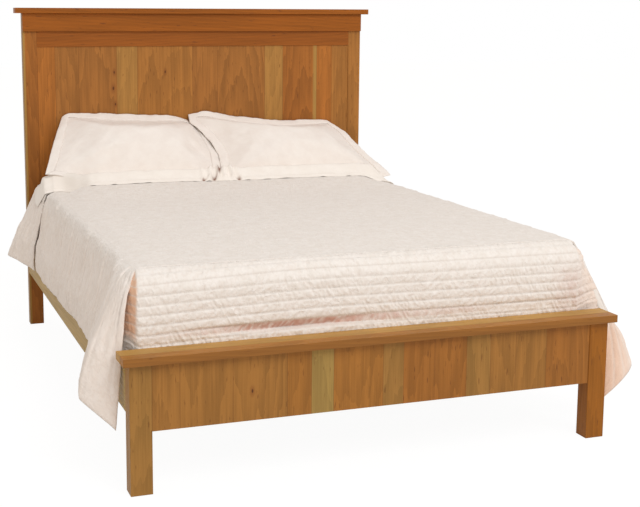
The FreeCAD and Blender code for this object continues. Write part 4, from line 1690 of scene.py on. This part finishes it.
@dataclass
class Pillow:
    """A stuffed pillow in a flanged cotton sham, leaning on the headboard."""

    body: str
    slump: Slump
    seed: int
    width: float = 692 * MM
    height: float = 464 * MM
    flange: float = 28 * MM
    flange_thickness: float = 4 * MM
    front_crown: float = 108 * MM
    back_crown: float = 44 * MM
    foot_place: float = 672 * MM
    ahead: float = 0.0
    pull: float = 0.12
    softness: float = 1.35
    spacing: float = 9.5 * MM
    frames: int = 22

    first_puff, unevenness = 14 * MM, 0.6 * MM
    quick_crown, quick_power = 90 * MM, 2.6
    foot_gap, back_gap, least_gap = 4 * MM, 6 * MM, 0.6 * MM
    crease_height, crease_turn, crease_run, crease_reach, crease_seed = 8 * MM, 1 / 12, 1 / 2, 0.85, 9
    front_depth = 40 * MM
    flange_columns, flange_inset, sewn_column = 9, -0.12, 2
    flange_waves = ((4.0, 48, 1 / 1.5, 5), (2.2, 19, 1 / 2, 6))
    filling = {
        "quality": 6, "mass": 0.15, "tension_stiffness": 30, "compression_stiffness": 30, "shear_stiffness": 12,
        "bending_stiffness": 0.4, "use_pressure": True, "uniform_pressure_force": 4.0,
    }

    def envelope(self) -> tuple[np.ndarray, list, np.ndarray]:
        """The flat sham before it is stuffed.

        Returns:
            Its points, its faces, and the numbers of the points along its seam in order.
        """
        columns, rows = round(self.width / self.spacing), round(self.height / self.spacing)
        u = np.linspace(-0.5, 0.5, columns + 1) * self.width
        v = np.linspace(-0.5, 0.5, rows + 1) * self.height
        border = np.zeros((rows + 1, columns + 1), bool)
        border[[0, -1], :] = True
        border[:, [0, -1]] = True
        puff = np.outer(np.cos(np.pi * v / self.height), np.cos(np.pi * u / self.width)) * self.first_puff
        rng = np.random.default_rng(self.seed)
        puff = puff + rng.uniform(-1, 1, puff.shape) * self.unevenness * ~border
        front, back = (grid_points(u[None, :], v[:, None], way * puff) for way in (1, -1))
        ahead = np.arange(border.size).reshape(border.shape)
        behind = ahead.copy()
        behind[~border] = border.size + np.arange(int((~border).sum()))
        faces = []
        for number, flip in ((ahead, 1), (behind, -1)):
            quads = np.stack([number[:-1, :-1], number[:-1, 1:], number[1:, 1:], number[1:, :-1]], axis=-1)
            faces += quads.reshape(-1, 4)[:, ::flip].tolist()
        seam = np.concatenate([ahead[0, :-1], ahead[:-1, -1], ahead[-1, :0:-1], ahead[:0:-1, 0]])
        return np.concatenate([front.reshape(-1, 3), back[~border]]), faces, seam

    def stuffed(self, points: np.ndarray, faces: list) -> np.ndarray:
        """Blows the sham up with a cloth simulation.

        Args:
            points: the flat sham's points.
            faces: its faces.

        Returns:
            The points of the stuffed sham.
        """
        sham = mesh_object(self.body + "_case", points, faces, points[:, :2])
        cloth = sham.modifiers.new("filling", "CLOTH")
        for name, value in self.filling.items():
            setattr(cloth.settings, name, value)
        cloth.settings.effector_weights.gravity = 0
        cloth.collision_settings.use_collision = False
        cloth.point_cache.frame_start = 1
        cloth.point_cache.frame_end = self.frames
        scene = bpy.context.scene
        for number in range(1, self.frames + 1):
            scene.frame_set(number)
        mesh = evaluated(sham)
        result = np.zeros(len(mesh.vertices) * 3)
        mesh.vertices.foreach_get("co", result)
        bpy.data.meshes.remove(mesh)
        bpy.data.objects.remove(sham)
        scene.frame_set(1)
        return result.reshape(-1, 3)

    def sized(self, points: np.ndarray, flat: np.ndarray) -> np.ndarray:
        """The stuffed shape near its sewn outline, fuller in front than behind, with a little of its seams' pull.

        Args:
            points: the stuffed sham's points.
            flat: the flat sham's points.

        Returns:
            The points of the sized sham.
        """
        deep = points[:, 2]
        full = np.abs(deep) / np.where(deep > 0, deep.max(), -deep.min())
        crown = np.where(deep > 0, self.front_crown, self.back_crown)
        pulled = flat[:, :2] + (points[:, :2] - flat[:, :2]) * self.pull
        return np.column_stack([pulled, np.sign(deep) * full ** self.softness * crown])

    def settled(self, points: np.ndarray) -> np.ndarray:
        """Leans the pillow on the headboard in its slumped outline, with its foot on the bed.

        Args:
            points: points of the sham as it lies flat.

        Returns:
            The points in their place on the bed.
        """
        u, v, w = points.T
        across = np.clip(u / (self.width / 2 + self.flange), -1.05, 1.05)
        up = np.clip((v / (self.height / 2 + self.flange) + 1) / 2, 0, 1)
        raised = through(self.slump.lower_across, self.slump.lower_rise, across)
        up = raised + (1 - raised) * up
        left, right = (spread(edge, up) for edge in (self.slump.left_edge, self.slump.right_edge))
        x = (left + (right - left) * (across + 1) / 2) * MM
        low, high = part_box(self.body)
        foot = low.z + self.foot_gap
        run = high.y - self.back_gap - self.foot_place
        rise = through(self.slump.across, self.slump.upper_edge, across) * MM - foot
        slope = np.hypot(run, rise)
        y = self.foot_place + run * up - w * rise / slope - self.ahead * 4 * up * (1 - up)
        z = foot + rise * up + w * run / slope
        fan, away = np.arctan2(up + 0.05, across + 1.25), np.hypot(up, (across + 1.1) * 0.7)
        creases = Noise(self.crease_turn, self.crease_run, self.seed + self.crease_seed, (0, self.seed))
        crease = self.crease_height * creases.at(fan, away) * bell(away, 0, self.crease_reach)
        pressed = sum((dent.at(across, up) for dent in self.slump.dents), 0 * up)
        y = y - np.where(w > 0, (crease - pressed) * np.clip(w / self.front_depth, 0, 1), 0)
        return np.column_stack([x, np.minimum(y, high.y), np.maximum(z, low.z + self.least_gap)])

    def flange_points(self, seam: np.ndarray, flat: np.ndarray) -> np.ndarray:
        """Rows of points from the seam out to the sham's edge.

        Args:
            seam: the stuffed sham's seam.
            flat: the same seam before it was stuffed.

        Returns:
            The flange's points, which end on the sham's cut outline.
        """
        share = np.linspace(self.flange_inset, 1, self.flange_columns)[None, :]
        grown = np.array([1 + self.flange / (self.width / 2), 1 + self.flange / (self.height / 2), 0.0])
        inner, outer = seam[:, None, :], (flat * grown)[:, None, :]
        points = inner + (outer - inner) * share[..., None]
        length = walked(flat)[:, None] / MM
        wave = sum(
            height * Noise(width, run, self.seed + number, (0, self.seed)).at(length, share)
            for height, width, run, number in self.flange_waves
        )
        free = np.clip(share, 0, 1)
        points[..., 2] = inner[..., 2] * (1 - 0.7 * free) + wave * free * MM
        return points

    def build(self, sewing: Stitching) -> None:
        """Args:
            sewing: sews the seam of the flange.
        """
        points, faces, seam = self.envelope()
        full = self.stuffed(points, faces)
        full = self.sized(full, points)
        loop = np.append(seam, seam[0])
        strip = self.flange_points(full[loop], points[loop])
        core = mesh_object(self.body + "_sham", self.settled(full), faces, points[:, :2])
        softened = core.modifiers.new("soften", "SUBSURF")
        softened.levels = softened.render_levels = 1
        mesh = evaluated(core)
        core.modifiers.clear()
        core.data = mesh
        border = self.settled(strip.reshape(-1, 3)).reshape(strip.shape)
        thickness = np.full(border.shape[:2], self.flange_thickness)
        edge = closed_cloth(self.body + "_flange", border, thickness, strip[..., :2])
        with bpy.context.temp_override(active_object=core, selected_editable_objects=[core, edge]):
            bpy.ops.object.join()
        core.data.shade_smooth()
        wear(core, PILLOW_COTTON.make(f"cotton_{self.body}"), self.body)
        thread = SHEET_THREAD.make(f"thread_{self.body}")
        sewn = sewing.sew(self.body + "_stitches", [border[:, self.sewn_column]], thread)
        wear(sewn, thread, self.body)
        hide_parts(self.body)


@dataclass
class Studio:
    """A plain pale floor, soft light and the photograph's camera."""

    eye: tuple[float, float, float] = (-1.53654, -4.39209, 1.41224)
    yaw: float = -19.0
    pitch: float = -8.84
    roll: float = 0.16
    focal_pixels: float = 1192.2
    axis_pixel: Pair = (266.92, 202.4)
    sensor: float = 36.0
    key_place: tuple[float, float, float] = (1.6, -7.7, 8.5)
    key_aim: tuple[float, float, float] = (0.0, 0.0, 0.5)
    key_size: float = 6.0
    key_power: float = 518.0
    floor_half: float = 30.0
    floor_white: float = 1.05
    floor_white_share: float = 0.9
    sky_strength: float = 0.65

    white, floor_colour, sky_colour, key_colour = "#FFFFFF", "#F4F2EF", "#FFF8F1", "#F8FBFF"

    def camera(self) -> None:
        """Sets the camera at the photograph's place and angle."""
        data = bpy.data.cameras.new("camera")
        data.sensor_width = self.sensor
        data.lens = self.focal_pixels * self.sensor / PHOTO_WIDTH
        data.shift_x = (PHOTO_WIDTH / 2 - self.axis_pixel[0]) / PHOTO_WIDTH
        data.shift_y = (self.axis_pixel[1] - PHOTO_HEIGHT / 2) / PHOTO_WIDTH
        yaw, pitch, roll = (math.radians(turn) for turn in (self.yaw, self.pitch, self.roll))
        ahead = Vector((-math.sin(yaw) * math.cos(pitch), math.cos(yaw) * math.cos(pitch), math.sin(pitch)))
        level = Vector((math.cos(yaw), math.sin(yaw), 0))
        right = level * math.cos(roll) + level.cross(ahead) * math.sin(roll)
        turned = Matrix((right, right.cross(ahead), -ahead)).transposed().to_4x4()
        camera = placed("camera", data)
        camera.matrix_world = Matrix.Translation(self.eye) @ turned
        bpy.context.scene.camera = camera

    def seen(self, tree: NodeTree) -> NodeSocket:
        """Finds the rays that see the background white.

        Args:
            tree: the node tree of the floor or the world.

        Returns:
            A socket that is 1 for rays from the camera and for reflections and refractions, else 0.
        """
        rays = add(tree, "ShaderNodeLightPath").outputs
        seen = rays["Is Camera Ray"]
        for kind in ("Is Glossy Ray", "Is Transmission Ray"):
            seen = add(tree, "ShaderNodeMath", {"operation": "MAXIMUM"}, {0: seen, 1: rays[kind]}).outputs[0]
        return seen

    def floor(self) -> None:
        """Lays the floor, white to the camera but for the bed's soft shadow."""
        corners = [(x * self.floor_half, y * self.floor_half, 0) for x, y in ((-1, -1), (1, -1), (1, 1), (-1, 1))]
        mesh = bpy.data.meshes.new("floor")
        mesh.from_pydata(corners, [], [(0, 1, 2, 3)])
        floor = placed("floor", mesh)
        material = bpy.data.materials.new("painted_floor")
        material.use_nodes = True
        tree = material.node_tree
        tree.nodes.clear()
        matt = add(tree, "ShaderNodeBsdfDiffuse", inputs={"Color": linear(self.floor_colour)}).outputs["BSDF"]
        inputs = {"Color": linear(self.white), "Strength": self.floor_white}
        white = add(tree, "ShaderNodeEmission", inputs=inputs).outputs["Emission"]
        inputs = {0: self.seen(tree), 1: self.floor_white_share}
        share = add(tree, "ShaderNodeMath", {"operation": "MULTIPLY"}, inputs).outputs[0]
        surface = add(tree, "ShaderNodeMixShader", inputs={0: share, 1: matt, 2: white}).outputs["Shader"]
        add(tree, "ShaderNodeOutputMaterial", inputs={"Surface": surface})
        mesh.materials.append(material)

    def light(self) -> None:
        """Sets an even sky and a large soft box in front."""
        world = bpy.data.worlds.new("studio")
        world.use_nodes = True
        tree = world.node_tree
        tree.nodes.clear()
        sky, white = (
            add(tree, "ShaderNodeBackground", inputs={"Color": linear(colour), "Strength": strength})
            for colour, strength in ((self.sky_colour, self.sky_strength), (self.white, 1.0))
        )
        inputs = {0: self.seen(tree), 1: sky.outputs["Background"], 2: white.outputs["Background"]}
        surface = add(tree, "ShaderNodeMixShader", inputs=inputs).outputs["Shader"]
        add(tree, "ShaderNodeOutputWorld", inputs={"Surface": surface})
        bpy.context.scene.world = world
        data = bpy.data.lights.new("key", "AREA")
        data.shape = "SQUARE"
        data.size = self.key_size
        data.energy = self.key_power
        data.color = linear(self.key_colour)[:3]
        lamp = placed("key", data)
        lamp.location = self.key_place
        lamp.rotation_euler = (Vector(self.key_aim) - lamp.location).to_track_quat("-Z", "Y").to_euler()
        bpy.context.scene.view_settings.view_transform = "Standard"

    def build(self) -> None:
        """Builds the whole studio."""
        self.camera()
        self.floor()
        self.light()
        LOG.info("studio: camera, floor and light")


def main() -> None:
    """Builds and dresses the bed round its frame."""
    logging.basicConfig(level=logging.INFO, format="%(name)s %(message)s")
    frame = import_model()
    nodes = frame["nodes"]
    Woodwork(nodes).dress()
    Hardware(nodes).dress()
    sewing = Stitching()
    PaddedBlock(
        "foundation", FOUNDATION_CLOTH, "foundation_cloth", corner=45 * MM, edge=10 * MM, crown=2 * MM, fill=0.9,
    ).build()
    PaddedBlock(
        "mattress", TICKING, "mattress_ticking", corner=70 * MM, edge=57 * MM, crown=3 * MM, fill=0.85,
    ).build()
    coverlet = Coverlet()
    coverlet.build(sewing)
    TurnedSheet(coverlet).build(sewing)
    Pillow("pillow_left", LEFT_SLUMP, seed=71, ahead=6 * MM).build(sewing)
    Pillow("pillow_right", RIGHT_SLUMP, seed=83).build(sewing)
    Studio().build()


if __name__ == "__main__":
    main()
